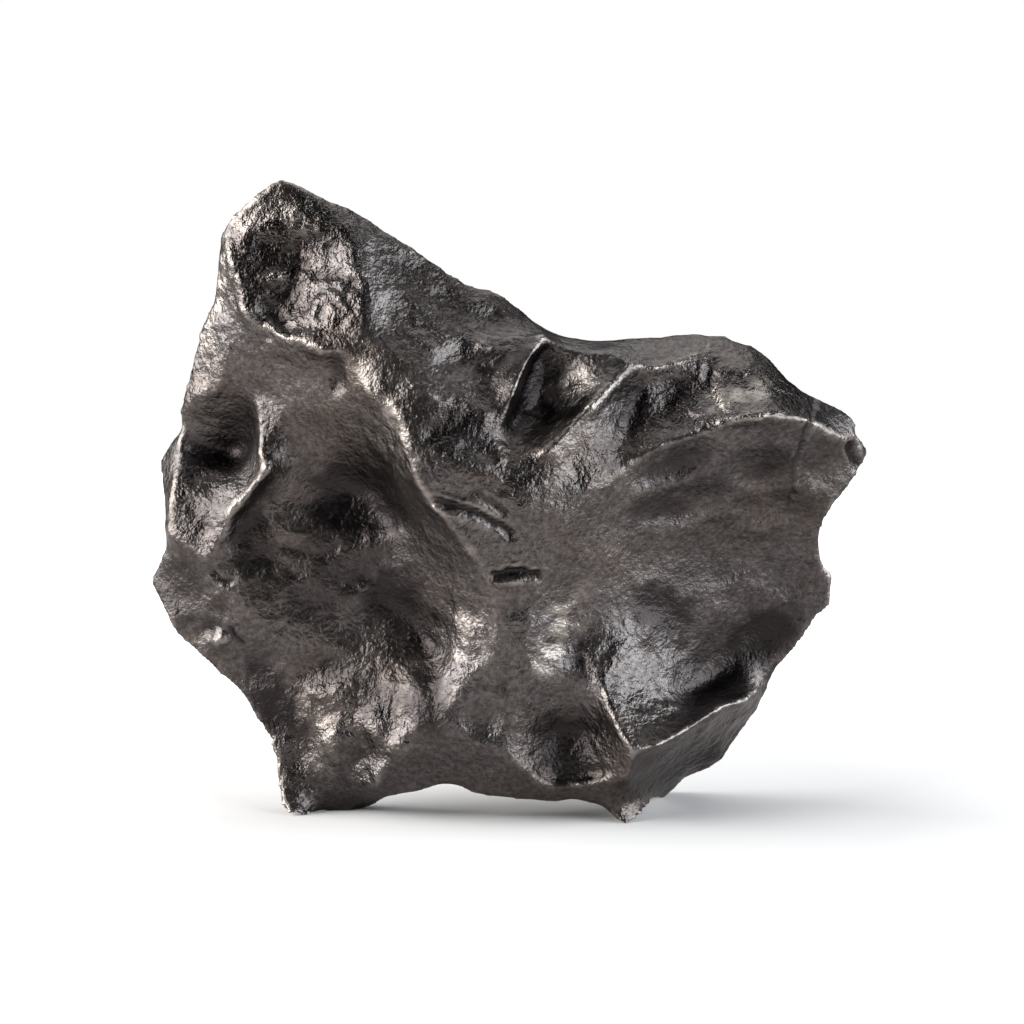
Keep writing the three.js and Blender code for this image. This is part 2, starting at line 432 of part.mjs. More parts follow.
// A skin stretched over fixed curves and pressed in at the hollows, with dents and lumps
class Relief {
  constructor({ crisp, soft, hollows, dents, lumps, inward }) {
    this.crisp = crisp;
    this.curves = [...crisp, ...soft];
    this.hollows = hollows;
    this.dents = dents;
    this.lumps = lumps;
    this.inward = inward;
    for (const spacing of SPACINGS) {
      this.refine(spacing);
    }
    for (let pass = 0; pass < WEAR_PASSES; pass += 1) {
      this.wear();
    }
  }

  // Starts the next, finer grid from the heights of the last one and lets it settle
  refine(spacing) {
    const columns = Math.round((HIGH.x - LOW.x) / spacing) + 1;
    const rows = Math.round((HIGH.v - LOW.v) / spacing) + 1;
    const heights = new Float64Array(columns * rows);
    const load = new Float64Array(columns * rows);
    for (let row = 0; row < rows; row += 1) {
      for (let column = 0; column < columns; column += 1) {
        const x = LOW.x + column * spacing;
        const v = LOW.v + row * spacing;
        heights[row * columns + column] = this.grid ? this.skinAt(x, v) : 0;
        load[row * columns + column] = this.pressure(x, v) * spacing * spacing;
      }
    }
    this.grid = { spacing, columns, rows, heights };
    const fixed = this.fixCurves();
    for (let sweep = 0; sweep < SWEEPS; sweep += 1) {
      for (let row = 1; row < rows - 1; row += 1) {
        for (let cell = row * columns + 1; cell < (row + 1) * columns - 1; cell += 1) {
          if (fixed[cell]) continue;
          const around = this.sumAround(heights, cell);
          heights[cell] += OVER_RELAXATION * ((around - load[cell]) / 4 - heights[cell]);
        }
      }
    }
  }

  // Sum of the four cells around one
  sumAround(heights, cell) {
    const { columns } = this.grid;
    return heights[cell - 1] + heights[cell + 1] + heights[cell - columns] + heights[cell + columns];
  }

  // Wears the skin between its crisp lines by averaging each cell with its neighbours
  wear() {
    const { columns, rows, heights } = this.grid;
    const before = heights.slice();
    const { counts } = this.meanHeights(this.crisp);
    for (let row = 1; row < rows - 1; row += 1) {
      for (let cell = row * columns + 1; cell < (row + 1) * columns - 1; cell += 1) {
        if (counts[cell]) continue;
        heights[cell] = (before[cell] + this.sumAround(before, cell) / 4) / 2;
      }
    }
  }

  // How hard the hollows press at a place
  pressure(x, v) {
    let total = 0;
    for (const hollow of this.hollows) {
      const [, , halfWidth, halfHeight, , depth] = hollow;
      const strength = 2 * depth * (1 / halfWidth ** 2 + 1 / halfHeight ** 2);
      total += this.inward * strength * Math.exp(-(ovalReach(hollow, x, v) ** 2));
    }
    return total;
  }

  // Sums the heights of curves in the cells that they cross, and how many points fell in each
  meanHeights(curves) {
    const { spacing, columns, rows } = this.grid;
    const sums = new Float64Array(columns * rows);
    const counts = new Uint32Array(columns * rows);
    for (const curve of curves) {
      for (let index = 1; index < curve.length; index += 1) {
        const steps = Math.ceil(curve[index].distanceTo(curve[index - 1]) / (spacing / 2)) + 1;
        for (let step = 0; step <= steps; step += 1) {
          const point = curve[index - 1].clone().lerp(curve[index], step / steps);
          const column = Math.round((point.x - LOW.x) / spacing);
          const row = Math.round((point.y - LOW.v) / spacing);
          sums[row * columns + column] += point.z;
          counts[row * columns + column] += 1;
        }
      }
    }
    return { sums, counts };
  }

  // Writes the mean height of all curves into their cells and returns which cells those are
  fixCurves() {
    const { sums, counts } = this.meanHeights(this.curves);
    counts.forEach((count, cell) => {
      if (count > 0) this.grid.heights[cell] = sums[cell] / count;
    });
    return counts;
  }

  // Height of the skin alone, between the four nearest cells
  skinAt(x, v) {
    const { spacing, columns, rows, heights } = this.grid;
    const column = THREE.MathUtils.clamp((x - LOW.x) / spacing, 0, columns - 1.001);
    const row = THREE.MathUtils.clamp((v - LOW.v) / spacing, 0, rows - 1.001);
    const cell = Math.floor(row) * columns + Math.floor(column);
    const right = column % 1;
    const up = row % 1;
    const lower = heights[cell] * (1 - right) + heights[cell + 1] * right;
    const upper = heights[cell + columns] * (1 - right) + heights[cell + columns + 1] * right;
    return lower * (1 - up) + upper * up;
  }

  // Height with the deepest dent at this place cut in and the lumps raised
  heightAt(x, v) {
    let cut = 0;
    for (const dent of this.dents) {
      cut = Math.max(cut, dent[5] * (1 - ovalReach(dent, x, v)));
    }
    let raised = 0;
    for (const lump of this.lumps) {
      raised += lump[5] * Math.max(0, 1 - ovalReach(lump, x, v)) ** 2;
    }
    return this.skinAt(x, v) + this.inward * (raised - cut);
  }
}

// An outline that can be asked for its point in any direction from the centre
class Rim {
  constructor(points) {
    this.points = curvePoints(points, true, OUTLINE_STEPS);
  }

  at(angle) {
    const direction = new THREE.Vector2(Math.cos(angle), Math.sin(angle));
    let best = this.points[0].clone();
    let reach = -1;
    for (let index = 1; index < this.points.length; index += 1) {
      const from = this.points[index - 1];
      const to = this.points[index];
      const sideFrom = direction.x * (from.y - CENTRE.v) - direction.y * (from.x - CENTRE.x);
      const sideTo = direction.x * (to.y - CENTRE.v) - direction.y * (to.x - CENTRE.x);
      if (sideFrom * sideTo > 0 || sideFrom === sideTo) continue;
      const point = from.clone().lerp(to, sideFrom / (sideFrom - sideTo));
      const out = direction.x * (point.x - CENTRE.x) + direction.y * (point.y - CENTRE.v);
      if (out > reach) {
        reach = out;
        best = point;
      }
    }
    return best;
  }
}

const frontRim = new Rim(OUTLINE);
const backRim = new Rim(BACK_OUTLINE);
const openCurves = (lines) => Object.values(lines).map((line) => curvePoints(line, false, RIDGE_STEPS));
const frontRidges = openCurves(FRONT_RIDGES);
const backRidges = openCurves(BACK_RIDGES);
const front = new Relief({
  crisp: [frontRim.points, ...frontRidges],
  soft: openCurves(FRONT_SWELLS),
  hollows: Object.values(FRONT_HOLLOWS),
  dents: FRONT_DENTS,
  lumps: FRONT_LUMPS,
  inward: 1,
});
const back = new Relief({
  crisp: [backRim.points, ...backRidges],
  soft: [],
  hollows: Object.values(BACK_HOLLOWS),
  dents: BACK_DENTS,
  lumps: [],
  inward: -1,
});

// From the slanted frame to the upright one, with the upper part leant forward
function upright(x, v, w) {
  const out = w + LEAN * Math.max(0, v - LEAN_FROM);
  const y = v * Math.sin(VIEW_PITCH) - out * Math.cos(VIEW_PITCH);
  const z = v * Math.cos(VIEW_PITCH) + out * Math.sin(VIEW_PITCH);
  return new THREE.Vector3(x, y, z);
}

// A square of half side 1 rounded into a disc of radius 1
function squareToDisc(across, up) {
  const x = across * Math.sqrt(1 - up * up / 2);
  const v = up * Math.sqrt(1 - across * across / 2);
  return { angle: Math.atan2(v, x), radius: Math.min(1, Math.hypot(x, v)) };
}

// Directions of all the box's rim corners
function rimDirections() {
  const found = [];
  for (let index = 0; index < ACROSS; index += 1) {
    const across = -1 + (2 * index) / ACROSS;
    found.push(squareToDisc(across, -1).angle, squareToDisc(-across, 1).angle);
  }
  for (let index = 0; index < UPWARD; index += 1) {
    const up = -1 + (2 * index) / UPWARD;
    found.push(squareToDisc(1, up).angle, squareToDisc(-1, -up).angle);
  }
  return found;
}

// For each tip, the rim direction nearest to it and how far that must turn to reach it
const directions = rimDirections();
const turns = TIPS.map(([x, v]) => {
  const goal = Math.atan2(v - CENTRE.v, x - CENTRE.x);
  const byNearness = (one, other) => Math.abs(one - goal) - Math.abs(other - goal);
  const [from] = [...directions].sort(byNearness);
  return { from, by: goal - from };
});

// A direction bent so that the rim corners next to the tips land on them
function bent(angle) {
  let result = angle;
  for (const { from, by } of turns) {
    result += by * Math.max(0, 1 - Math.abs(angle - from) / TIP_REACH);
  }
  return result;
}

// How far the rim wall stands out beyond the straight line between the two outlines
function wallSwell(angle, through) {
  let cut = 0;
  for (const dent of WALL_DENTS) {
    const turned = THREE.MathUtils.radToDeg(angle) - dent.towards;
    const aside = (turned - 360 * Math.round(turned / 360)) / dent.halfAngle;
    const along = (through - dent.through) / dent.halfThrough;
    cut = Math.max(cut, dent.depth * (1 - aside * aside - along * along));
  }
  return (RIM_BULGE - cut) * Math.sin(Math.PI * through);
}

// Where a point of the box goes, in the slanted frame, and which face it lies on
function wrap(across, up, depth) {
  const onWall = Math.max(Math.abs(across), Math.abs(up)) > WALL_FROM;
  const { angle: direction, radius } = squareToDisc(across, up);
  const angle = bent(direction);
  const outer = frontRim.at(angle);
  const inner = backRim.at(angle);
  outer.z = front.heightAt(outer.x, outer.y);
  inner.z = back.heightAt(inner.x, inner.y);
  if (onWall) {
    const through = (1 - depth) / 2;
    const point = outer.lerp(inner, through);
    const swell = wallSwell(angle, through);
    point.x += swell * Math.cos(angle);
    point.y += swell * Math.sin(angle);
    return { point, face: null };
  }
  const edge = depth > 0 ? outer : inner;
  const x = CENTRE.x + (edge.x - CENTRE.x) * radius;
  const v = CENTRE.v + (edge.y - CENTRE.v) * radius;
  return { point: new THREE.Vector3(x, v, 0), face: depth > 0 ? front : back };
}

// Moves corners of one face sideways onto the ridges that pass near them
function snapToRidges(places, face, ridges) {
  const free = places.filter((place) => place.face === face);
  for (const ridge of ridges) {
    let travelled = SNAP_STEP;
    for (let index = 1; index < ridge.length; index += 1) {
      travelled += ridge[index].distanceTo(ridge[index - 1]);
      if (travelled < SNAP_STEP) continue;
      const { x, y } = ridge[index];
      const near = free.map(({ point }) => Math.hypot(point.x - x, point.y - y));
      const nearest = near.indexOf(Math.min(...near));
      if (near[nearest] > SNAP_REACH) continue;
      travelled = 0;
      free[nearest].point.x = x;
      free[nearest].point.y = y;
      free.splice(nearest, 1);
    }
  }
}

// How far the middle of the straight line between two corners is from the real surface
function chordError(from, to) {
  const middle = from.point.clone().add(to.point).multiplyScalar(0.5);
  const face = from.face ?? to.face;
  if (!face) return from.point.distanceTo(to.point);
  return Math.abs(face.heightAt(middle.x, middle.y) - middle.z);
}

// Turns the diagonal of each four-sided patch to the way that follows the surface best
function turnDiagonals(geometry, places) {
  const corners = geometry.index.array;
  for (let start = 0; start < corners.length; start += 6) {
    const [a, b, d, , c] = corners.slice(start, start + 6);
    if (chordError(places[a], places[c]) < chordError(places[b], places[d])) {
      corners.set([a, b, c, a, c, d], start);
    }
  }
}

// The whole stone as a wrapped box
function stoneGeometry() {
  const box = new THREE.BoxGeometry(2, 2, 2, ACROSS, UPWARD, THROUGH);
  box.deleteAttribute('normal');
  box.deleteAttribute('uv');
  const geometry = mergeVertices(box);
  const position = geometry.attributes.position;
  const places = [];
  for (let index = 0; index < position.count; index += 1) {
    places.push(wrap(position.getX(index), position.getY(index), position.getZ(index)));
  }
  snapToRidges(places, front, frontRidges);
  snapToRidges(places, back, backRidges);
  for (const { point, face } of places) {
    if (face) point.z = face.heightAt(point.x, point.y);
  }
  turnDiagonals(geometry, places);
  places.forEach(({ point }, index) => {
    position.setXYZ(index, ...upright(point.x, point.y, point.z).toArray());
  });
  return geometry;
}

// A closed geometry as a solid that can be joined and cut
function solidOf(wasm, geometry) {
  const vertProperties = new Float32Array(geometry.attributes.position.array);
  const triVerts = new Uint32Array(geometry.index.array);
  return new wasm.Manifold(new wasm.Mesh({ numProp: 3, vertProperties, triVerts }));
}

// A solid back as a geometry
function geometryOf(solid) {
  const mesh = solid.getMesh();
  const geometry = new THREE.BufferGeometry();
  geometry.setAttribute('position', new THREE.BufferAttribute(mesh.vertProperties, 3));
  geometry.setIndex(new THREE.BufferAttribute(mesh.triVerts, 1));
  return geometry;
}

// Everything below the level of the feet
function groundGeometry() {
  const ground = new THREE.BoxGeometry(GROUND.side, GROUND.side, GROUND.depth);
  ground.translate(0, 0, FOOT_CUT - GROUND.depth / 2);
  ground.deleteAttribute('normal');
  ground.deleteAttribute('uv');
  return mergeVertices(ground);
}

const wasm = await Module();
wasm.setup();
const stone = geometryOf(solidOf(wasm, stoneGeometry()).subtract(solidOf(wasm, groundGeometry())));
stone.computeBoundingBox();
const middle = stone.boundingBox.getCenter(new THREE.Vector3());
stone.translate(-middle.x, -middle.y, -stone.boundingBox.min.z);
stone.computeVertexNormals();

const iron = new THREE.MeshStandardMaterial({ color: 0x3a3431, roughness: 0.45, metalness: 0.9 });
const meteorite = new THREE.Mesh(stone, iron);
meteorite.name = 'meteorite';

const group = new THREE.Group();
group.add(meteorite);

export default group;
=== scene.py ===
"""An iron meteorite standing on edge: its fine surface, its finish and a plain pale studio.

The stone is described in millimetres in a slanted frame (x, v, w): x to the right, v up along a
plane that leans back by VIEW_PITCH, and w out of that plane towards the front. The front and the
back are reliefs over that plane, joined by a rim wall. Everything is turned upright and scaled to
metres before it becomes a mesh.
"""

import logging
import math
from dataclasses import dataclass
from enum import Enum

import bmesh
import bpy
import numpy as np
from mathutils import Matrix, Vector, noise


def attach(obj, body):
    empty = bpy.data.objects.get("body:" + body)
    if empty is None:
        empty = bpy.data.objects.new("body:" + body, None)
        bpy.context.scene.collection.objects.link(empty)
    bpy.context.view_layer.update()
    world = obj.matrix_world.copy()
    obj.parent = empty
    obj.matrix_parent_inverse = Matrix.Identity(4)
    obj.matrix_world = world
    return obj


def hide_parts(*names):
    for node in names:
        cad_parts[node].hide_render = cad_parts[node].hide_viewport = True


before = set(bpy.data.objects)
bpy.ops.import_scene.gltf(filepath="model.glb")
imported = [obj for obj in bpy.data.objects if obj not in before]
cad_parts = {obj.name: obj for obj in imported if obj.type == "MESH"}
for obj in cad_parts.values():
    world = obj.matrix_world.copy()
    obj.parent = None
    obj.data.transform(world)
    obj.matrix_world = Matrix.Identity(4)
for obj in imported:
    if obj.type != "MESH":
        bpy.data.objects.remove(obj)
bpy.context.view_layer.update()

LOG = logging.getLogger("meteorite")

MM = 0.001
VIEW_PITCH = math.radians(9.0)
CENTRE = (-4.5, 69.0)
LEAN = 0.07
LEAN_FROM = 40.0
FOOT_CUT = 0.5
RIM_BULGE = 0.4
# Steps of the smooth curves from one point to the next
OUTLINE_STEPS = 4
RIDGE_STEPS = 6
# How far out the wrapped block counts as the rim wall
WALL_FROM = 1 - 1e-5
# The middle of the stone in metres, for the lights to look at
STONE_MIDDLE = (0, 0, 0.07)
# How a rough crust and a patch of painted shade fade at their edges: the level in the middle, and its
# fall
CRUST_EDGE = (2.0, 2.0)
PAINTED_SHADE_EDGE = (1.4, 1.0)
# Seed of the noise that wanders, which without one differs from run to run
WANDER_SEED = 7
# The bottom centre of the stone's box, in the upright frame before it is moved to the origin
BOTTOM_CENTRE = (0.150, 3.670)

Point = tuple[float, float, float]
Oval = tuple[float, float, float, float, float, float]
Span = tuple[float, float]
Value = float | tuple[float, ...] | bpy.types.NodeSocket


class Facing(Enum):
    """Which way a skin of the stone faces, as the sign of its height."""

    FRONT = 1.0
    BACK = -1.0


# Outline of the front face with the depth of its edge, clockwise from the peak
OUTLINE: list[Point] = [
    (-55.5, 158.2, 17), (-51, 156.3, 17), (-45, 153.2, 16.5), (-39.5, 151.5, 14), (-36.5, 149.5, 14),
    (-31, 146, 14), (-25, 142.5, 14), (-20, 138.5, 13), (-14, 134.5, 12), (-8, 131.7, 11),
    (-4, 131, 11), (-1, 129.5, 11), (4, 125.8, 10), (9, 121.8, 11), (14, 119.4, 12),
    (20, 118.7, 11), (30, 119, 10), (40, 119.8, 9), (45.5, 120.5, 8), (50, 120, 8),
    (54, 119.8, 8), (57, 118.2, 7), (61, 117, 7), (65, 114, 7), (70, 108.5, 7),
    (75, 105.3, 7), (80, 102.8, 7), (85, 100, 6), (86.7, 97.5, 6), (86.6, 95.2, 6),
    (89.8, 92, 2), (88.8, 88.5, 2), (86, 83.5, 5), (83.5, 79.8, 6), (81.5, 78, 7),
    (79.2, 74, 6.5), (78, 69, 5), (78, 65, 3.5), (79.5, 61.5, 1), (81.5, 60, -1.5),
    (81, 57, -1.5), (81, 53, -1.5), (78.5, 50, -2), (74, 44, -3), (70.5, 40, -3.5),
    (66.5, 35, -4), (64, 29, -6), (60, 22, -8), (56, 17, -10), (53.5, 13.5, -11),
    (50, 11, -12), (45, 9, -15), (42, 6.5, -18), (39.3, 3.5, -21.7), (37.5, 3.7, -19),
    (36.2, 3.4, -4), (34.3, 1.2, 9), (31.5, -1.2, 12.5), (29.2, -2.3, 14.6), (27, -1, 13.5),
    (24, 2, 12.5), (20, 3, 12), (16.5, 3.8, 12), (10, 3.4, 11.5), (3, 3.8, 12),
    (-3, 4.5, 12), (-9, 5.8, 11), (-13.5, 7.8, 10), (-18, 7.5, 9.5), (-21, 6.3, 9),
    (-25, 5.5, 8), (-30, 4.3, 4.5), (-33.5, 2.4, -3), (-36, 1.2, -7.6), (-40, 0.5, -3.2),
    (-44, 0.6, -3.8), (-48, 0.2, -1.3), (-52.5, -0.9, 5.7), (-56, 1.3, 3), (-57.2, 4, 2),
    (-57.8, 10, 1), (-58.3, 14, 1), (-60, 19, 1), (-63.5, 25, 0), (-65, 28.5, 0),
    (-69, 32.8, 0), (-73, 35.5, 0), (-75, 37, 0), (-78, 40.5, 0), (-82.5, 45, -1),
    (-84.5, 48, -1), (-87, 52.5, -2), (-89.5, 58, -5), (-89.3, 59.5, -5), (-87, 64, -2),
    (-86, 66.5, -1), (-85.8, 71, -2), (-86, 77, -3), (-87, 84, -6), (-87.7, 88.5, -9),
    (-86.5, 90.5, -8), (-84, 94, -5), (-81.5, 96.5, -3), (-81.7, 99, -3), (-82, 101.5, -2),
    (-80.5, 106.5, 0), (-79, 112, 2), (-77, 119, 4), (-74.5, 126, 7), (-73, 129, 8.5),
    (-72.5, 133, 9.5), (-71.8, 140, 10.5), (-71.5, 144, 11), (-70.5, 146.5, 13), (-68, 150, 14.5),
    (-64, 153, 15.5), (-60, 156.5, 16.5), (-57, 158, 17),
]

# Outline of the back face, a little inside the front one
BACK_OUTLINE: list[Point] = [
    (-55, 152, 7), (-44, 147, 4), (-34, 142, 2), (-22, 134, 0), (-8, 126, -2), (6, 119, -3),
    (20, 114, -5), (36, 114, -6), (50, 114, -7), (61, 110, -8), (71, 101, -8), (80, 95, -8),
    (82, 87, -9), (77, 77, -8), (73.5, 66, -8), (75, 57, -10), (70, 46, -12), (62, 36, -16),
    (57, 27, -22), (52, 18, -25), (46, 11.5, -27.5), (40.5, 6.6, -28.5), (35, 7.6, -26),
    (25, 10, -14), (14, 11, -8), (0, 11, -6), (-14, 12, -6), (-26, 9.5, -8), (-37, 6, -12),
    (-46, 7, -11), (-53, 11, -9), (-56, 21, -10), (-63, 33, -11), (-73, 42, -11), (-80, 51, -12),
    (-83, 58, -14), (-80, 68, -13), (-80, 80, -13), (-81, 89, -14), (-76, 100, -11),
    (-73, 112, -8), (-69, 124, -5), (-66, 136, -1), (-64, 146, 4),
]

# Crisp ridges of the front face, each along its highest line
FRONT_RIDGES: dict[str, list[Point]] = {
    "block_lip": [
        (-71.3, 144.5, 11.5), (-69.8, 141, 16), (-68.3, 136.5, 18), (-66.3, 131.5, 19.5),
        (-65, 127, 20), (-63.8, 123.8, 19.5), (-61, 122, 20), (-57.5, 120.5, 21.5), (-54, 118.8, 24),
        (-50, 117.5, 26.5), (-45, 115.3, 28.5), (-41, 115.5, 29), (-37, 117, 29), (-33.2, 119, 29),
    ],
    "main": [
        (-37, 117, 29), (-38, 113, 28.5), (-36.5, 109.5, 29.5), (-34.3, 105.8, 31), (-32, 102.7, 32),
        (-28.5, 100.8, 33), (-26, 97.5, 34), (-24.7, 92.5, 34.5), (-24, 88, 34.5), (-23, 84, 34.5),
        (-21, 81, 34.5), (-18, 77.5, 34), (-15, 73.5, 33.5), (-12, 70, 33), (-8.5, 65.5, 31.5),
        (-5.5, 61, 30), (-4, 57, 29), (-3.3, 52, 27.5), (-3.4, 47, 26), (-4.2, 42, 25),
        (-5.5, 38, 24), (-9.5, 34.7, 22.5), (-13, 31, 21.5), (-14.7, 27, 20.5), (-15, 22.5, 20),
    ],
    "second": [
        (-33.2, 119, 29), (-30, 115, 30.5), (-26.5, 111.5, 31.5), (-23.5, 107.8, 33),
        (-20, 105, 34), (-17.5, 103.2, 34),
    ],
    "pit_rim": [
        (9, 119.3, 20), (12, 117.2, 20), (16, 115.8, 20), (20, 115.6, 20), (25.5, 115.3, 20.5),
        (29, 113.6, 21.5), (30, 112.5, 22), (28.6, 109.5, 23.8), (25, 106, 26.4), (21, 102.5, 29.2),
        (17, 98.5, 30.8), (13, 94, 33), (9, 90.6, 34), (6, 88.8, 33.5), (3, 88.3, 32.5),
        (0.8, 89.5, 31.5), (-1, 92.5, 30), (-1.5, 96, 30), (-0.6, 100, 30.5), (1.2, 104.5, 30.5),
        (3, 109, 29.5), (4.8, 113, 27), (7.2, 116.8, 23.5), (9, 119.3, 20),
    ],
    "ledge": [(30, 112.5, 22), (35, 111.6, 20.5), (40, 112.3, 19), (46, 114.5, 16), (50, 117.2, 11.5)],
    "right_brow": [
        (12.5, 71.2, 31), (15.5, 75, 31), (20, 79.3, 29.6), (26, 84.2, 27.4), (32, 88.6, 26),
        (38, 92, 26.2), (45, 94.5, 25.5), (52, 97, 26), (60, 99.4, 28), (68, 99.1, 25.5),
        (75, 98.4, 20), (80, 94.8, 15.5), (83.5, 94, 12), (86.5, 96.3, 6.5),
    ],
    "right_low": [
        (21.6, 45, 19.6), (22, 40, 20.6), (23.7, 33, 22.4), (25.5, 26.5, 24.4), (28, 21, 26.2),
        (31, 17, 27.5),
    ],
    "right_sill": [
        (31, 17, 27.5), (34, 17, 27), (38, 18.4, 25.5), (42, 20.4, 23), (46, 22.8, 20.5),
        (50, 25.6, 17.5), (54, 27.6, 14), (58, 28.2, 9), (61, 30, 3.5), (64, 33, -3),
    ],
    "apron_lip": [
        (31, 17, 27.5), (30.5, 13, 25.5), (29, 10, 22.5), (25, 9, 19.5), (20, 8.6, 17),
        (14, 7.8, 15.5), (10, 7.2, 15.8), (6, 10, 17.5), (2, 13.2, 19.3), (-1.5, 16.5, 20.5),
        (-6, 18.5, 20.8), (-11, 20, 20.3), (-15, 21.5, 19.5), (-20, 21.8, 18), (-25, 20.5, 16),
        (-28, 17, 14), (-30.5, 13, 12), (-33, 8, 9), (-35.5, 4.5, 3),
    ],
    "edge_pit_brow": [
        (-81, 99, -1.5), (-79.5, 103, 3), (-75, 106, 7), (-70, 107.3, 9.5), (-65, 106.8, 10.5),
        (-61, 105.2, 12), (-57.5, 102.5, 13.5), (-54.8, 98.5, 14.5),
    ],
    "edge_pit_right": [
        (-62.2, 105.6, 11.4), (-62.3, 101, 12), (-62, 95, 13), (-61.8, 90, 14.5), (-60, 86.2, 16.5),
        (-63, 82.2, 15.5), (-66, 78.6, 14), (-69, 75, 12.5), (-70.3, 71, 11), (-72.2, 68, 10),
        (-75, 64.5, 9),
    ],
    "edge_pit_left": [
        (-81, 99, -1.5), (-81.6, 95, -1), (-82, 91, -0.5), (-82.4, 86.5, 1), (-83.6, 82, 3),
        (-84.6, 76, 4.5), (-84.3, 70.5, 5.5), (-82, 68, 6.5), (-79, 66.6, 7.5), (-76, 65.2, 8.5),
        (-75, 64.5, 9),
    ],
}


@dataclass(frozen=True)
class Wear:
    """How brightly a ridge is worn along its top, from one of its points to another."""

    ridge: str
    strength: float
    first: int = 0
    last: int = 99

    def line(self) -> np.ndarray:
        """The worn stretch, with its strength in place of its height."""
        points = FRONT_RIDGES[self.ridge][self.first:self.last + 1]
        stretch = curve_points(points, False, RIDGE_STEPS)
        stretch[:, 2] = self.strength
        return stretch


WORN_RIDGES = (
    Wear("block_lip", 0.8, 0, 4),
    Wear("block_lip", 0.6, 4),
    Wear("main", 0.3, 0, 4),
    Wear("main", 1.0, 4, 14),
    Wear("main", 0.3, 14),
    Wear("second", 0.9),
    Wear("pit_rim", 0.5, 5, 13),
    Wear("ledge", 0.6),
    Wear("right_brow", 0.3, 2, 5),
    Wear("right_brow", 0.3, 5),
    Wear("right_low", 0.6),
    Wear("right_sill", 0.4),
    Wear("edge_pit_right", 0.3, 4),
)

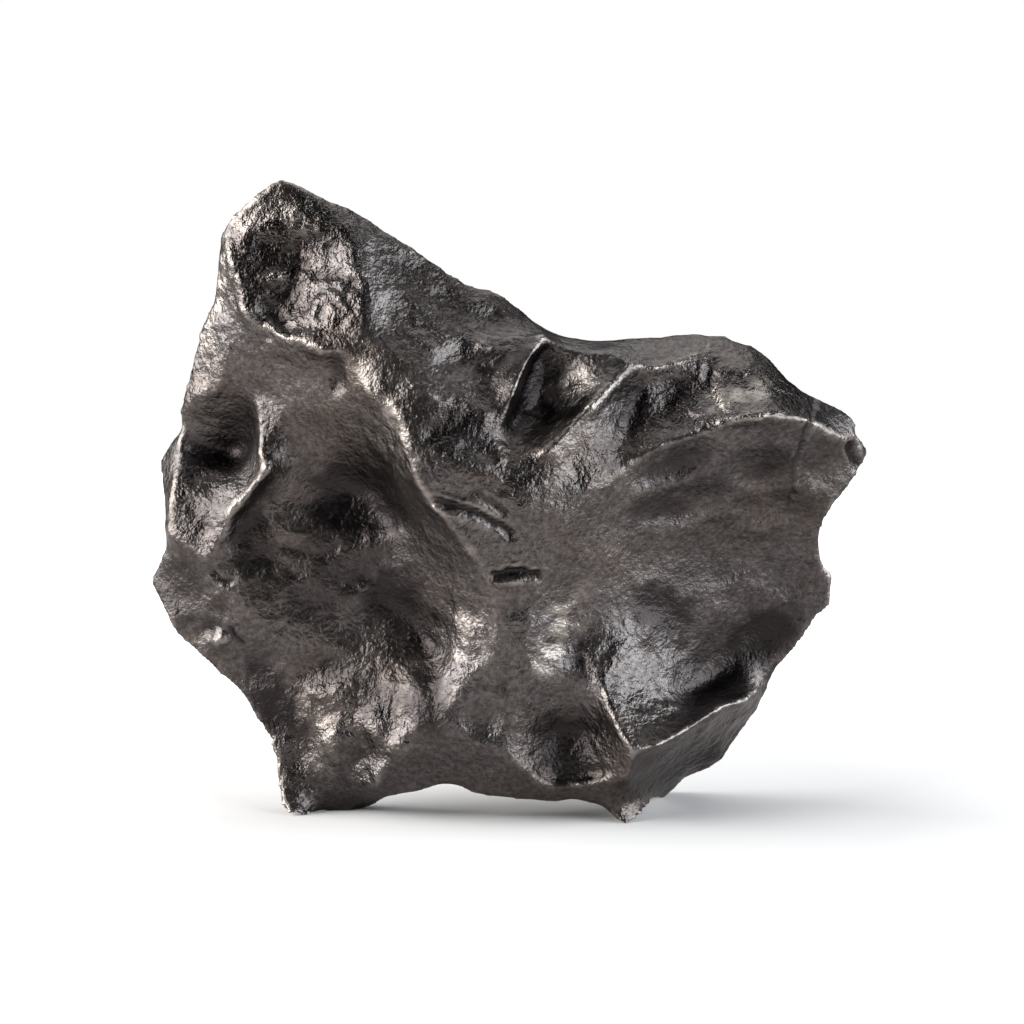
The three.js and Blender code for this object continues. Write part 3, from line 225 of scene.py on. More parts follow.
# Softer swells, floors and feet of walls on the front face
FRONT_SWELLS: dict[str, list[Point]] = {
    "block_right": [
        (-33.2, 119, 29), (-34.5, 124, 28), (-35, 128, 27), (-36, 134, 25.5), (-37.5, 140, 23.5),
        (-39.5, 146, 20.5), (-41, 150.5, 16.5),
    ],
    "block_shoulder": [
        (-41, 150.5, 16.5), (-44.5, 147, 19.5), (-50, 145.5, 18.8), (-57, 146, 17.8), (-64, 145.5, 17),
        (-69.8, 141, 16),
    ],
    "block_dip": [(-41, 143, 20), (-47, 141.5, 17.2), (-54, 140, 15.8), (-61, 140, 16)],
    "block_fold": [(-55, 137, 17), (-53, 131, 17.5), (-54, 126, 17.5), (-55.5, 122.5, 20)],
    "under_lip": [
        (-66, 118.5, 15.5), (-62, 117, 17), (-57, 115.5, 18), (-52, 112.5, 20), (-47, 110, 22),
        (-42, 109, 24.5),
    ],
    "left_shoulder": [(-70.5, 121, 13.5), (-71, 115, 12), (-71.5, 110, 10.5), (-73, 105.5, 8.5)],
    "left_brow": [
        (-54.8, 98.5, 14.5), (-51, 102.5, 17.5), (-46, 102, 20), (-40, 100.5, 22.5), (-34, 98, 25.5),
        (-30, 95, 28),
    ],
    "edge_pit_cheek": [(-54.8, 98.5, 14.5), (-55.5, 93, 14.5), (-56.5, 88, 15), (-60, 86.2, 16.5)],
    "edge_pit_wall": [(-64.3, 102, 5), (-64.5, 97, 0.5), (-64.8, 92, -2.5), (-65.5, 89, -3.5)],
    "edge_pit_floor": [(-79, 93, -3), (-74, 90.5, -4.5), (-69, 89.5, -5), (-65.5, 89, -3.5)],
    "edge_pit_bar": [
        (-82.2, 86.5, 1), (-77, 86, 1.5), (-71, 85.5, 3), (-66, 85.8, 7), (-62.5, 86.5, 13),
    ],
    "edge_pit_low": [(-78, 83, 3.5), (-77.5, 77, 6), (-77, 71, 7.2)],
    "edge_pit_foot": [
        (-58.5, 82, 9.5), (-61.5, 78, 8.5), (-65, 74, 7.8), (-67.3, 70, 7.4), (-68.8, 66, 7.4),
        (-70.3, 62, 8),
    ],
    "left_high_floor": [(-50, 81, 9), (-44, 80.5, 8), (-37, 80.5, 8), (-31, 81.5, 9.5)],
    "left_deep": [(-54, 77, 8.8), (-47, 75, 7.8), (-40, 74.3, 7.8), (-33, 75, 8.1), (-27.5, 76, 9.5)],
    "left_shelf": [
        (-58, 74.5, 9.8), (-52, 72, 10), (-46, 70.7, 10.2), (-40, 70.3, 10.6), (-34, 70, 11),
        (-28, 70, 12), (-23, 70.5, 15),
    ],
    "low_rise": [(-28, 31, 14.2), (-23.5, 32, 15.6), (-19, 33, 16.8)],
    "left_floor": [(-32, 55, 6.5), (-26, 50, 7), (-20, 45, 8), (-19, 40, 9.5)],
    "cheek": [
        (-75, 64.5, 9), (-73.3, 60.5, 8.5), (-70.5, 56.5, 8.5), (-66.5, 52.5, 8.5), (-62, 47.3, 8),
        (-57, 44.3, 8), (-50, 42.5, 8), (-44, 41, 8),
    ],
    "low_fold": [
        (-53, 33, 4.2), (-49.2, 31, 6.2), (-45.6, 29.5, 8), (-42.9, 32, 9), (-38.5, 32.5, 9.5),
        (-33, 33, 11),
    ],
    "foot_field": [(-54, 24, 1.4), (-52, 16, 1.2), (-50, 10, 1)],
    "square_brow": [
        (-17.5, 103.2, 34), (-13, 101, 33.5), (-9.5, 99.5, 33), (-5, 97.5, 31.5), (-1.5, 96, 30),
    ],
    "plateau_lip": [(-20.5, 89, 36), (-15, 88.5, 36.8), (-9, 87.5, 36.6), (-3.5, 86, 36)],
    "top_valley": [(-4.5, 117, 22.8), (-5.5, 110, 24.4), (-5.8, 104, 27)],
    "pit_floor": [
        (23.5, 109.5, 23.9), (19, 107.5, 21.3), (15, 105.5, 19), (11.5, 103, 17.6), (8, 100, 18),
    ],
    "pit_slope": [(21.5, 112.5, 22.2), (17.5, 111.5, 20.6), (13, 110.5, 18.4)],
    "pit_bed": [(12, 113, 17.5), (10.5, 109, 17.2), (8.5, 105, 17.6), (6.5, 101.5, 19)],
    "pit_foot": [
        (9.5, 116, 16.5), (7, 112.5, 16.5), (5.2, 109, 17), (3.8, 104.5, 18.5), (2.2, 100, 21),
        (1.2, 96, 24),
    ],
    "bulge": [(6, 88.5, 33.5), (5, 82, 35.5), (4.5, 77, 35.5), (4.2, 74.5, 34.5)],
    "bulge_foot": [(-2, 74, 32), (2, 72.5, 31.5), (6, 71.7, 31.2), (10, 71.3, 31), (12.5, 71.2, 31)],
    "pit_valley": [(32.5, 108.5, 18), (30, 102, 18.3), (30, 95, 20.5), (30.5, 91.5, 23)],
    "nose_left": [(13, 92, 32.6), (12.6, 86, 32.6)],
    "nose_right": [(18.8, 96, 29.4), (18.4, 86, 29)],
    "fin_left": [(22, 101, 28.4), (21, 94, 28.4)],
    "fin_right": [(27, 104.5, 21.5), (26.8, 95, 22)],
    "knee": [(23.5, 91, 28), (22.5, 87, 29.6), (20.5, 82, 30.4), (17.5, 78, 31)],
    "over_brow": [(41, 109, 15.5), (42, 104, 16.8), (41, 98, 20.5)],
    "right_dome": [(46, 103, 19.3), (52, 105, 20.8), (58, 106.3, 21.5), (63, 106.5, 20.5)],
    "right_crest": [
        (67, 101, 25), (65.5, 104.5, 22), (62.5, 109, 18.5), (58, 113.5, 15), (55, 117.5, 10.5),
    ],
    "right_high": [
        (26.5, 83.5, 27), (25.4, 79, 25.3), (26, 74, 23.4), (27, 68, 21.7), (26.8, 62, 20.4),
        (25.2, 56, 19.4), (22.7, 50, 19.2), (21.6, 45, 19.6),
    ],
    "field_right": [
        (12.5, 71.2, 31), (10.5, 66, 30), (8.5, 60, 28.8), (5.8, 54, 27.4), (4.9, 48, 27),
        (4.7, 43, 26.8), (5, 38.5, 25.8),
    ],
    "right_shoulder": [
        (30, 60, 17), (30.5, 52, 16.2), (30.5, 44, 16.6), (31, 36, 17.6), (31.5, 29, 18.8),
        (33, 23, 22),
    ],
    "right_foot": [(44, 29, 4), (52, 33, -1), (58, 38, -2), (66, 44.5, -2.5)],
    "right_middle": [(34, 55, 14), (39, 53, 11.4), (44, 51.5, 9), (50, 51, 6.4), (56, 52, 4)],
    "right_floor": [(44, 35, 4.5), (50, 38.5, 0.5), (56, 43, -1), (62, 48.5, -1.5)],
    "field_step": [(18, 56.5, 21.6), (16.5, 51, 20.9), (15, 46, 20.4), (13, 42, 20.6)],
    "bowl_top": [
        (-1, 28.5, 22), (1, 31, 23.3), (4.5, 34.5, 24.6), (8.5, 37.3, 23), (12, 39.7, 20.8),
        (15.5, 42.8, 19.2), (18.5, 43.8, 18.9), (21.6, 45, 19.6),
    ],
    "bowl_left": [(-1, 28.5, 22), (0.3, 25, 21.5), (0.3, 21, 21), (-1, 17, 20.5)],
    "bowl_floor": [(8, 19, 15), (10.5, 21, 13.6), (14.5, 22, 13), (20, 21.5, 13.6), (23, 20, 15.5)],
    "bowl_foot": [
        (8, 12.5, 14.6), (10.5, 10.3, 13.6), (14, 9.4, 13.2), (20, 10, 13.8), (23.5, 11.5, 15.5),
    ],
}

# Ridges of the back face; the first one runs down to the rear foot
BACK_RIDGES: dict[str, list[Point]] = {
    "spine": [
        (-50, 140, -1), (-46, 122, -9), (-38, 102, -15), (-24, 86, -19), (-6, 72, -21),
        (12, 58, -23), (27, 42, -26), (36, 26, -29), (40.5, 12, -29),
    ],
    "to_left_foot": [(-24, 86, -19), (-34, 68, -19), (-45, 52, -18), (-52, 36, -15), (-52, 22, -12)],
    "to_top": [(-6, 72, -21), (4, 88, -18), (20, 100, -14), (38, 108, -9)],
    "to_right": [(12, 58, -23), (32, 66, -20), (54, 72, -16), (70, 78, -10)],
    "to_left": [(-38, 102, -15), (-56, 94, -16), (-74, 90, -14)],
    "to_bottom": [(12, 58, -23), (2, 42, -20), (-10, 27, -15), (-18, 14, -8)],
}

# Hollows pressed in between the ridges (x, v, half width, half height, turn in degrees, depth)
FRONT_HOLLOWS: dict[str, Oval] = {
    "left_high": (-40, 86, 18, 12, -10, 4),
    "right": (60, 62, 18, 20, 20, 3),
    "deep_pit": (14, 106, 9, 7, 40, 2),
    "bottom_bowl": (14, 21, 9, 9, 0, 1),
}
BACK_HOLLOWS: dict[str, Oval] = {
    "high": (-14, 108, 18, 13, -35, 6),
    "high_left": (-58, 116, 10, 13, 0, 4),
    "left": (-58, 68, 17, 15, 0, 7),
    "middle": (-20, 50, 14, 20, 20, 4),
    "high_right": (34, 86, 20, 11, -15, 6),
    "right": (52, 48, 16, 15, 30, 1),
    "low": (16, 28, 11, 14, 0, 6),
    "low_left": (-36, 24, 12, 11, 0, 4),
}

# Thumbprints: smaller round dents that meet in soft edges, same values as the hollows
FRONT_DENTS: list[Oval] = [
    (-15, 96, 8, 5, 20, 1.8), (-9, 91.5, 8, 3, -15, 1.4), (-13, 113, 7, 4.5, 25, 1.6),
    (-25, 135, 12, 5, -40, 1.2), (-14, 127, 10, 4.5, -40, 1.3), (-27, 123, 5.5, 8, 15, 0.9),
    (-5, 123, 6.5, 3.5, -25, 1.6), (41, 88, 13, 5.5, 20, 2.4), (63, 86, 10, 6, 5, 2.6),
    (77, 88, 6, 7, 0, 2), (70, 66, 11, 13, 0, 1.4), (50, 66, 15, 10, 20, 1.4),
    (36, 67, 9, 9, 20, 1.4), (43, 77.5, 15, 6, 15, 2.2), (64, 77, 11, 6, -5, 1.8),
    (-52, 92, 8, 10, -15, 1.6), (-37, 85, 9, 8, 0, 1.6),
    (-57, 63, 10, 7, 20, 0.9), (-31, 62, 12, 6, 15, 0.8), (-50, 54, 12, 6, -25, 0.8),
    (-38, 47, 9, 6, -15, 0.8), (-18, 60, 7, 9, 30, 1.3), (-47, 36.5, 8, 5, 0, 1.3),
    (-63, 38, 8, 6, 30, 1.2), (-80, 57, 7, 8, 30, 1.4), (-78, 46, 6, 5, 30, 1.2),
    (-6.5, 24, 6, 6, 0, 1.6), (44, 15, 9, 6, 30, 1.6), (56, 22, 6, 6, 30, 1.6),
    (58, 106, 6, 5, 0, 1.4), (48, 107, 5, 5, 0, 1.2), (-58.5, 124.5, 4, 3, 30, 1),
    (-42.5, 110, 2.4, 6, 10, 2), (-37, 14, 6, 5, 20, 1.5),
]
# Where the skin is a rough crust, same values, the last being how rough
CRUSTS: list[Oval] = [
    (-53, 134, 22, 24, 0, 1), (-11, 96, 11, 9, 0, 0.7), (-20, 128, 20, 16, -35, 0.5),
    (10, 83, 16, 11, 0, 0.7),
    (50, 105, 24, 10, 0, 0.8), (-76, 78, 10, 14, 0, 0.5), (-40, 18, 22, 16, 0, 0.6),
    (26, 98, 10, 12, 0, 0.5),
    (34, 36, 14, 17, 0, 0.65), (10, 46, 10, 12, 0, 0.5), (-12, 44, 8, 14, 0, 0.6),
    (47, 15, 16, 10, 30, 0.35), (14, 20, 14, 14, 0, 0.35), (-76, 118, 10, 20, -10, 0.6),
    (-30, 96, 12, 14, 0, 0.4), (18, 104, 10, 8, 40, 0.35),
]
# Painted shade: patches of the front made darker to stand in for shade, same values, the last being how
# dark
PAINTED_SHADE_PATCHES: list[Oval] = [
    (41, 87, 10, 4.5, 20, 0.6), (67, 87, 7, 5, 0, 0.45), (51, 82, 6, 4, -20, 0.4),
    (38, 76.5, 9, 4, 10, 0.6), (74, 80, 8, 6, 0, 0.5), (38, 51.5, 9, 7, -20, 0.9),
    (64, 45, 11, 7, 35, 0.8), (57, 38, 6, 4, 35, 0.6), (48, 58, 12, 6, 0, 0.45),
    (-32, 29, 6, 6, 0, 0.7), (-49, 31, 5, 4, 0, 0.4),
    (-20, 131, 16, 6, -40, 0.5), (75, 102, 8, 4, -30, 0.4),
    (-42, 84, 7, 4, 0, 0.6), (-63, 68, 5, 12, 10, 0.8), (-38, 75, 12, 6, 0, 0.85),
    (-28, 66, 7, 4, 0, 0.3),
    (-29, 56, 9, 7, 20, 0.65), (-46, 66, 8, 5, 0, 0.6), (-59, 29, 6, 11, 25, 0.9),
    (-20, 29, 6, 8, 20, 0.9), (-42, 36, 5, 4, 0, 0.7), (25, 91, 4, 6, 0, 0.5),
    (31, 103, 4, 6, 0, 0.95), (4.5, 108.5, 5, 9, -10, 1), (-76, 78, 7, 9, 0, 0.55),
    (-82, 56, 6, 9, 0, 0.5), (-62, 82, 4, 4, 0, 0.5), (15, 16, 9, 8, 0, 0.85),
    (-59, 134, 9, 11, 0, 0.6), (-48, 146, 12, 5, -20, 0.5), (-12, 96, 8, 7, 0, 0.55),
    (6, 123, 9, 4, -30, 0.5), (44, 104, 6, 5, 0, 0.5), (-46, 58, 13, 8, 10, 0.6),
    (-40, 66, 12, 6, 0, 0.5), (-4, 113, 5, 4, 0, 0.4), (53, 17, 9, 4, 35, 0.35),
]
# Small lumps that stand out of the skin, same values, the last being how far they stand out
FRONT_LUMPS: list[Oval] = [
    (-43, 18, 7, 9, 0, 2.8), (-33, 22, 5, 7, 0, 1.6), (-27, 16, 5, 6, 0, 1.2), (-22, 29, 5, 9, 0, 1),
    (-11, 45, 7, 7, 0, 1.8), (-12, 37, 5, 5, 0, 1.2), (-44, 127, 7, 6, 0, 1.2),
    (-58, 134, 6, 3, 20, 1.3),
    (-6, 117, 3.5, 3, 0, 1.6), (-72, 43.5, 3.5, 3.5, 0, 1.4), (-45, 147, 4, 3, 30, 1),
    (16, 106, 6, 3, 30, 0.8),
    (-60, 13, 3, 6, 0, 0.8), (28, 40, 5, 7, 0, 1), (35, 46, 4, 5, 0, 1.2), (40, 37, 4, 6, 0, 1.2),
    (56, 103, 5, 3, 20, 0.6), (-64, 60, 6, 4, 0, 1), (-36, 56, 6, 3, 10, 1), (-50, 24, 5, 6, 0, 1),
]
BACK_DENTS: list[Oval] = [
    (-24, 122, 12, 9, -35, 3), (0, 104, 12, 9, -30, 3), (-62, 130, 8, 10, 0, 2.5),
    (-60, 106, 11, 9, 0, 3), (-68, 76, 10, 11, 0, 3), (-50, 62, 11, 11, 0, 3),
    (-66, 52, 9, 9, 0, 3), (-24, 62, 10, 11, 0, 3), (-14, 42, 12, 11, 0, 3),
    (-30, 36, 9, 10, 0, 3), (24, 82, 11, 9, 0, 3), (44, 92, 12, 9, 0, 3),
    (62, 92, 9, 9, 0, 3), (40, 56, 11, 10, 0, 3), (60, 58, 10, 10, 0, 3),
    (50, 34, 11, 10, 30, 3), (14, 38, 9, 10, 0, 3), (22, 20, 9, 9, 0, 3),
    (-38, 18, 10, 8, 0, 2.5), (0, 22, 9, 8, 0, 2.5),
]

# Dents in the rim wall: direction and half width in degrees, place and half depth as a share of
# the wall's thickness, how deep in millimetres
WALL_DENTS: list[tuple[float, float, float, float, float]] = [
    (127, 4, 0.5, 0.6, 2), (110, 8, 0.55, 0.6, 3), (96, 8, 0.5, 0.6, 3.5), (82, 7, 0.6, 0.5, 3),
    (62, 7, 0.5, 0.6, 3), (47, 6, 0.45, 0.6, 2.5), (29, 8, 0.5, 0.6, 3), (5, 7, 0.5, 0.6, 3),
    (-14, 9, 0.5, 0.6, 3.5), (-33, 7, 0.4, 0.5, 4), (-48, 6, 0.45, 0.5, 3), (-80, 9, 0.5, 0.6, 4),
    (-99, 9, 0.5, 0.6, 3.5), (-138, 7, 0.5, 0.6, 3), (-156, 8, 0.5, 0.6, 3), (172, 8, 0.5, 0.6, 3),
    (155, 7, 0.5, 0.6, 3), (140, 6, 0.5, 0.6, 3),
]


@dataclass(frozen=True)
class Mark:
    """A narrow form along a line on the front: a groove, or a thin ridge where its depth is below 0.

    The line is in x and v, the half width, depth and height of the lips beside it in millimetres.
    """

    line: tuple[tuple[float, float], ...]
    half_width: float
    depth: float
    lip: float = 0.0


MARKS: dict[str, Mark] = {
    "gash": Mark(
        ((-18, 78.4), (-14, 77.4), (-10, 76.3), (-5.6, 74.2), (-2, 72.3), (0.5, 70)), 1.2, 1.2, 0.25
    ),
    "small_gash": Mark(((-8.3, 80.5), (-4.6, 78.6), (-0.7, 75.4)), 1.0, 0.7, 0.15),
    "slit": Mark(((-3.6, 60.1), (0, 60.6), (4, 60.6), (8, 60.4)), 1.2, 1.4, 0.1),
    "spot": Mark(((2, 53.5), (2, 51)), 1.6, 0.4),
    "small_pit": Mark(((-1, 32.3), (-1, 31.7)), 1.6, 0.6),
    "crack": Mark(
        ((76, 103.8), (75, 98), (73.4, 94.4), (72.1, 90.4), (71, 86), (70.3, 82.4), (69.9, 78)),
        0.9, 0.7, 0.1
    ),
    "ear_pit": Mark(((85.2, 92.2), (86, 90), (86.8, 87.8)), 1.4, 1.2, 0.3),
    "left_dimple": Mark(((-72.6, 51.6), (-72.2, 51.4)), 3.2, 0.6),
    "low_dimple": Mark(((-74.4, 46.8), (-74, 46.4)), 2.8, 0.6),
    "bowl_dimple": Mark(((17.8, 38.5), (18.2, 38)), 2.6, 0.7),
    "left_knob": Mark(((-72.2, 44.2), (-71.8, 43.8)), 3.0, -0.7),
    "middle_knob": Mark(((-2.8, 90.8), (-2.2, 90.4)), 3.0, -0.9),
    "knob_crease": Mark(((-69.6, 46.5), (-68.6, 44.6), (-66.5, 42.5)), 1.0, 0.7),
    "tan_fold": Mark(((-49.2, 31), (-45.6, 29.5), (-42.9, 32), (-38.5, 32.5)), 1.4, -0.4),
    "cheek_slit": Mark(((-73.5, 60.4), (-71.6, 58.6), (-69.5, 58.3)), 0.9, 1.0, 0.1),
    "ledge_line": Mark(
        ((-5.2, 119.6), (-1.2, 118.4), (3.7, 118.3), (6.4, 118.9), (8.6, 119.4)), 1.2, -0.5
    ),
    "small_ridge": Mark(((-2.5, 115), (-5.2, 112.5)), 1.4, -0.6),
    "right_crease": Mark(((50.5, 113), (49.8, 108), (50.5, 102)), 1.8, 0.7),
    "left_notch": Mark(((-42.5, 114), (-41.5, 110), (-42.5, 106)), 2.2, 0.35),
    "block_notch": Mark(((-60, 127), (-57, 124), (-55, 121)), 2.0, 1.0),
    "curl": Mark(
        ((-50, 125), (-48, 129), (-44, 131), (-40, 129.4), (-38.5, 126)), 1.4, 0.32, 0.1
    ),
    "inner_curl": Mark(((-46.5, 124.2), (-46, 127), (-43.2, 128), (-41.4, 126)), 1.2, 0.28, 0.1),
    "block_crease": Mark(((-51, 137), (-47, 134.5), (-42, 134), (-38, 132)), 1.8, 0.7),
    "floor_crease": Mark(((-56, 66.8), (-50, 65.8), (-46, 65), (-42.5, 66.8)), 1.4, 0.5),
    "floor_slit": Mark(((-54, 60.2), (-51.5, 60.6)), 0.9, 0.5),
    "low_crease": Mark(((-40, 57.5), (-36.5, 55.5), (-33, 54.8)), 1.4, 0.5),
    "pit_crease": Mark(((4.5, 101.5), (9, 100.2), (14, 100.3), (17.5, 101.5)), 1.6, 0.5),
}

# Painted highlights: flanks made brighter where highlights fall, with how bright as a depth below 0
PAINTED_HIGHLIGHTS: dict[str, Mark] = {
    "main_flank": Mark(
        ((-35.6, 111.5), (-33, 106), (-29.8, 101.5), (-27.2, 97), (-25.8, 91), (-24.8, 86)), 2.6, -1.3
    ),
    "ball_flank": Mark(((-6, 53), (-5.4, 47), (-6.4, 41)), 1.8, -0.6),
    "gash_lip": Mark(((-16, 74.5), (-11, 73.8), (-5, 71.5)), 0.9, -0.7),
    "slit_lip": Mark(((-4, 58.2), (0, 58.3), (5, 58.6), (8, 58.8)), 0.7, -0.9),
    "field_flank": Mark(((12.5, 50), (11, 44), (9.5, 38)), 4.5, -1.4),
    "field_edge": Mark(((19, 56), (17, 49)), 4.0, -0.5),
    "pit_bottom": Mark(((20, 108.5), (16.5, 107), (12.5, 104.8)), 4.0, -1.3),
    "right_top": Mark(((50, 103), (57, 105.5), (63, 106)), 3.5, -1.2),
    "foot_flank": Mark(((-46.5, 23), (-45.5, 12)), 4.0, -0.7),
    "arris": Mark(((-75, 117), (-73.5, 126), (-71, 133), (-70, 139)), 2.4, -1.3),
    "ball": Mark(((-10, 50), (-11.5, 41)), 4.0, -0.6),
    "peak": Mark(((-65, 148), (-57, 150), (-50, 148)), 4.0, -0.8),
    "pit_nose": Mark(((13, 95), (16, 88)), 4.0, -0.5),
}


# Where the lips stand beside a mark and how wide they are, in half widths of the mark
LIP_PLACE = 1.5
LIP_WIDTH = 0.5


def curve_points(points: list[Point], closed: bool, per_point: int) -> np.ndarray:
    """Runs a smooth curve through points.

    Args:
        points: the (x, v, w) places that the curve passes through.
        closed: whether it comes back to its first point.
        per_point: how many steps it takes from one point to the next.

    Returns:
        The curve's own points, one row each.
    """
    given = np.array(points, float)
    if closed:
        around = np.vstack([given[-1], given, given[0], given[1]])
    else:
        around = np.vstack([2 * given[0] - given[1], given, 2 * given[-1] - given[-2]])
    share = np.linspace(0, 1, per_point, endpoint=False)[:, None]
    pieces = []
    for index in range(len(around) - 3):
        before, start, end, after = around[index:index + 4]
        linear = end - before
        square = 2 * before - 5 * start + 4 * end - after
        cube = 3 * start - 3 * end + after - before
        pieces.append((2 * start + linear * share + square * share**2 + cube * share**3) / 2)
    pieces.append(given[:1] if closed else given[-1:])
    return np.vstack(pieces)


def open_curves(table: dict[str, list[Point]]) -> list[np.ndarray]:
    """The smooth curves of a table of ridges or swells."""
    return [curve_points(points, False, RIDGE_STEPS) for points in table.values()]


def oval_reach(oval: Oval, x: np.ndarray, v: np.ndarray) -> np.ndarray:
    """Squared distance from the middle of an oval, which is 1 on its edge.

    Args:
        oval: the oval.
        x: the places' x.
        v: the places' v.

    Returns:
        One squared distance for every place.
    """
    angle = math.radians(oval[4])
    along = (x - oval[0]) * math.cos(angle) + (v - oval[1]) * math.sin(angle)
    across = (v - oval[1]) * math.cos(angle) - (x - oval[0]) * math.sin(angle)
    return (along / oval[2]) ** 2 + (across / oval[3]) ** 2


def strongest(ovals: list[Oval], flat: np.ndarray, level: float, fall: float) -> np.ndarray:
    """The strongest of some fading ovals at every (x, v) place.

    Args:
        ovals: the ovals, each with its strength as its last value.
        flat: the places, one row each.
        level: the strength's share in the middle, held to 1.
        fall: how fast it fades outwards.

    Returns:
        One strength for every place.
    """
    found = np.zeros(len(flat))
    for oval in ovals:
        reach = oval_reach(oval, flat[:, 0], flat[:, 1])
        found = np.maximum(found, oval[5] * np.clip(level - fall * reach, 0, 1))
    return found


def blurred(field_values: np.ndarray, cells: float) -> np.ndarray:
    """A grid of values averaged with a bell of that many cells.

    Args:
        field_values: the grid.
        cells: the bell's spread.

    Returns:
        The averaged grid.
    """
    reach = int(3 * cells) + 1
    bell = np.exp(-0.5 * (np.arange(-reach, reach + 1) / cells) ** 2)
    bell /= bell.sum()
    padded = np.pad(field_values, reach, mode="edge")
    rows = np.apply_along_axis(lambda line: np.convolve(line, bell, mode="valid"), 1, padded)
    return np.apply_along_axis(lambda line: np.convolve(line, bell, mode="valid"), 0, rows)


class Relief:
    """A skin stretched over fixed curves, pressed in at the hollows, with dents cut in it."""

    LOW = np.array([-96.0, -10.0])
    SIZE = np.array([192.0, 174.0])
    SPACINGS = (4.0, 2.0, 1.0, 0.5)
    SWEEPS = 150
    OVER_RELAXATION = 1.93
    SOFT_CELLS = 4.0
    CRISP_CELLS = 3.0
    CRISP_GAIN = 9.0
    WORN_CELLS = 0.8
    WORN_GAIN = 2.6
    # Painted shade: the spread in cells and the depth in millimetres of the recess measure that darkens
    # the hollows
    DEEP_CELLS = 24.0
    DEEP = 8.0

    def __init__(
        self,
        crisp: list[np.ndarray],
        soft: list[np.ndarray],
        hollows: list[Oval],
        dents: list[Oval],
        lumps: list[Oval],
        worn: list[np.ndarray],
        facing: Facing,
    ) -> None:
        """Works the relief out.

        Args:
            crisp: curves that stay sharp.
            soft: curves that are rounded over.
            hollows: ovals that press the skin in.
            dents: ovals that are cut out of it.
            lumps: ovals that are raised on it.
            worn: curves that are worn bright, with how bright in place of their height.
            facing: which way the skin faces.
        """
        self.inward = facing.value
        self.spacing = 0.0
        self.heights = np.zeros((1, 1))
        for spacing in self.SPACINGS:
            self._refine(spacing, crisp + soft, hollows)
        _, marked = self._fixed(self.spacing, crisp)
        near = np.clip(blurred(marked.astype(float), self.CRISP_CELLS) * self.CRISP_GAIN, 0, 1)
        strength, _ = self._fixed(self.spacing, worn)
        self.worn = np.clip(blurred(strength, self.WORN_CELLS) * self.WORN_GAIN, 0, 1)
        # Painted shade: how far each place lies below its broad surroundings, for darkening the hollows
        painted_shade = blurred(self.heights, self.DEEP_CELLS) - self.heights
        self.deep = np.clip(painted_shade / self.DEEP, 0, 1)
        rounded = blurred(self.heights, self.SOFT_CELLS)
        self.heights = self.heights * near + rounded * (1 - near)
        x, v = self.places(self.spacing)
        cut = np.zeros_like(self.heights)
        for dent in dents:
            cut = np.maximum(cut, dent[5] * (1 - oval_reach(dent, x, v)))
        self.heights -= self.inward * cut
        for lump in lumps:
            self.heights += self.inward * lump[5] * np.maximum(0, 1 - oval_reach(lump, x, v)) ** 2

    def places(self, spacing: float) -> tuple[np.ndarray, np.ndarray]:
        """The x and v of every cell of a grid with that spacing.

        Args:
            spacing: the cells' size in millimetres.

        Returns:
            The grid of x and the grid of v.
        """
        columns, rows = (np.round(self.SIZE / spacing).astype(int) + 1).tolist()
        across = self.LOW[0] + spacing * np.arange(columns)
        upward = self.LOW[1] + spacing * np.arange(rows)
        return np.meshgrid(across, upward)

    def _fixed(self, spacing: float, curves: list[np.ndarray]) -> tuple[np.ndarray, np.ndarray]:
        """The mean height of the curves in the cells that they cross, and which cells those are.

        Args:
            spacing: the cells' size in millimetres.
            curves: the curves, one point in each row.

        Returns:
            The grid of heights and the grid that is true where a curve runs.
        """
        shape = self.places(spacing)[0].shape
        total = np.zeros(shape)
        count = np.zeros(shape)
        for curve in curves:
            for start, end in zip(curve[:-1], curve[1:]):
                steps = int(np.linalg.norm((end - start)[:2]) / (0.4 * spacing)) + 2
                along = start + (end - start) * np.linspace(0, 1, steps)[:, None]
                columns, rows = np.round((along[:, :2] - self.LOW) / spacing).astype(int).T
                np.add.at(total, (rows, columns), along[:, 2])
                np.add.at(count, (rows, columns), 1)
        return total / np.maximum(count, 1), count > 0

    def _refine(self, spacing: float, curves: list[np.ndarray], hollows: list[Oval]) -> None:
        """Starts a finer grid from the heights of the last one and lets it settle.

        Args:
            spacing: the finer cells' size in millimetres.
            curves: what the skin is stretched over.
            hollows: ovals that press it in.
        """
        x, v = self.places(spacing)
        heights = self.height_at(x, v) if self.spacing else np.zeros_like(x)
        value, fixed = self._fixed(spacing, curves)
        heights = np.where(fixed, value, heights)
        load = np.zeros_like(x)
        for hollow in hollows:
            strength = 2 * hollow[5] * (hollow[2] ** -2.0 + hollow[3] ** -2.0)
            load += strength * np.exp(-(oval_reach(hollow, x, v) ** 2))
        load *= self.inward * spacing**2
        free = ~fixed
        free[[0, -1], :] = False
        free[:, [0, -1]] = False
        row, column = np.indices(x.shape)
        halves = [free & ((row + column) % 2 == parity) for parity in (0, 1)]
        mean = np.zeros_like(x)
        for _ in range(self.SWEEPS):
            for half in halves:
                around = heights[:-2, 1:-1] + heights[2:, 1:-1] + heights[1:-1, :-2] + heights[1:-1, 2:]
                mean[1:-1, 1:-1] = (around - load[1:-1, 1:-1]) / 4
                heights[half] += self.OVER_RELAXATION * (mean[half] - heights[half])
        self.spacing = spacing
        self.heights = heights

    def height_at(self, x: np.ndarray, v: np.ndarray) -> np.ndarray:
        """The height at any places."""
        return self.read(self.heights, x, v)

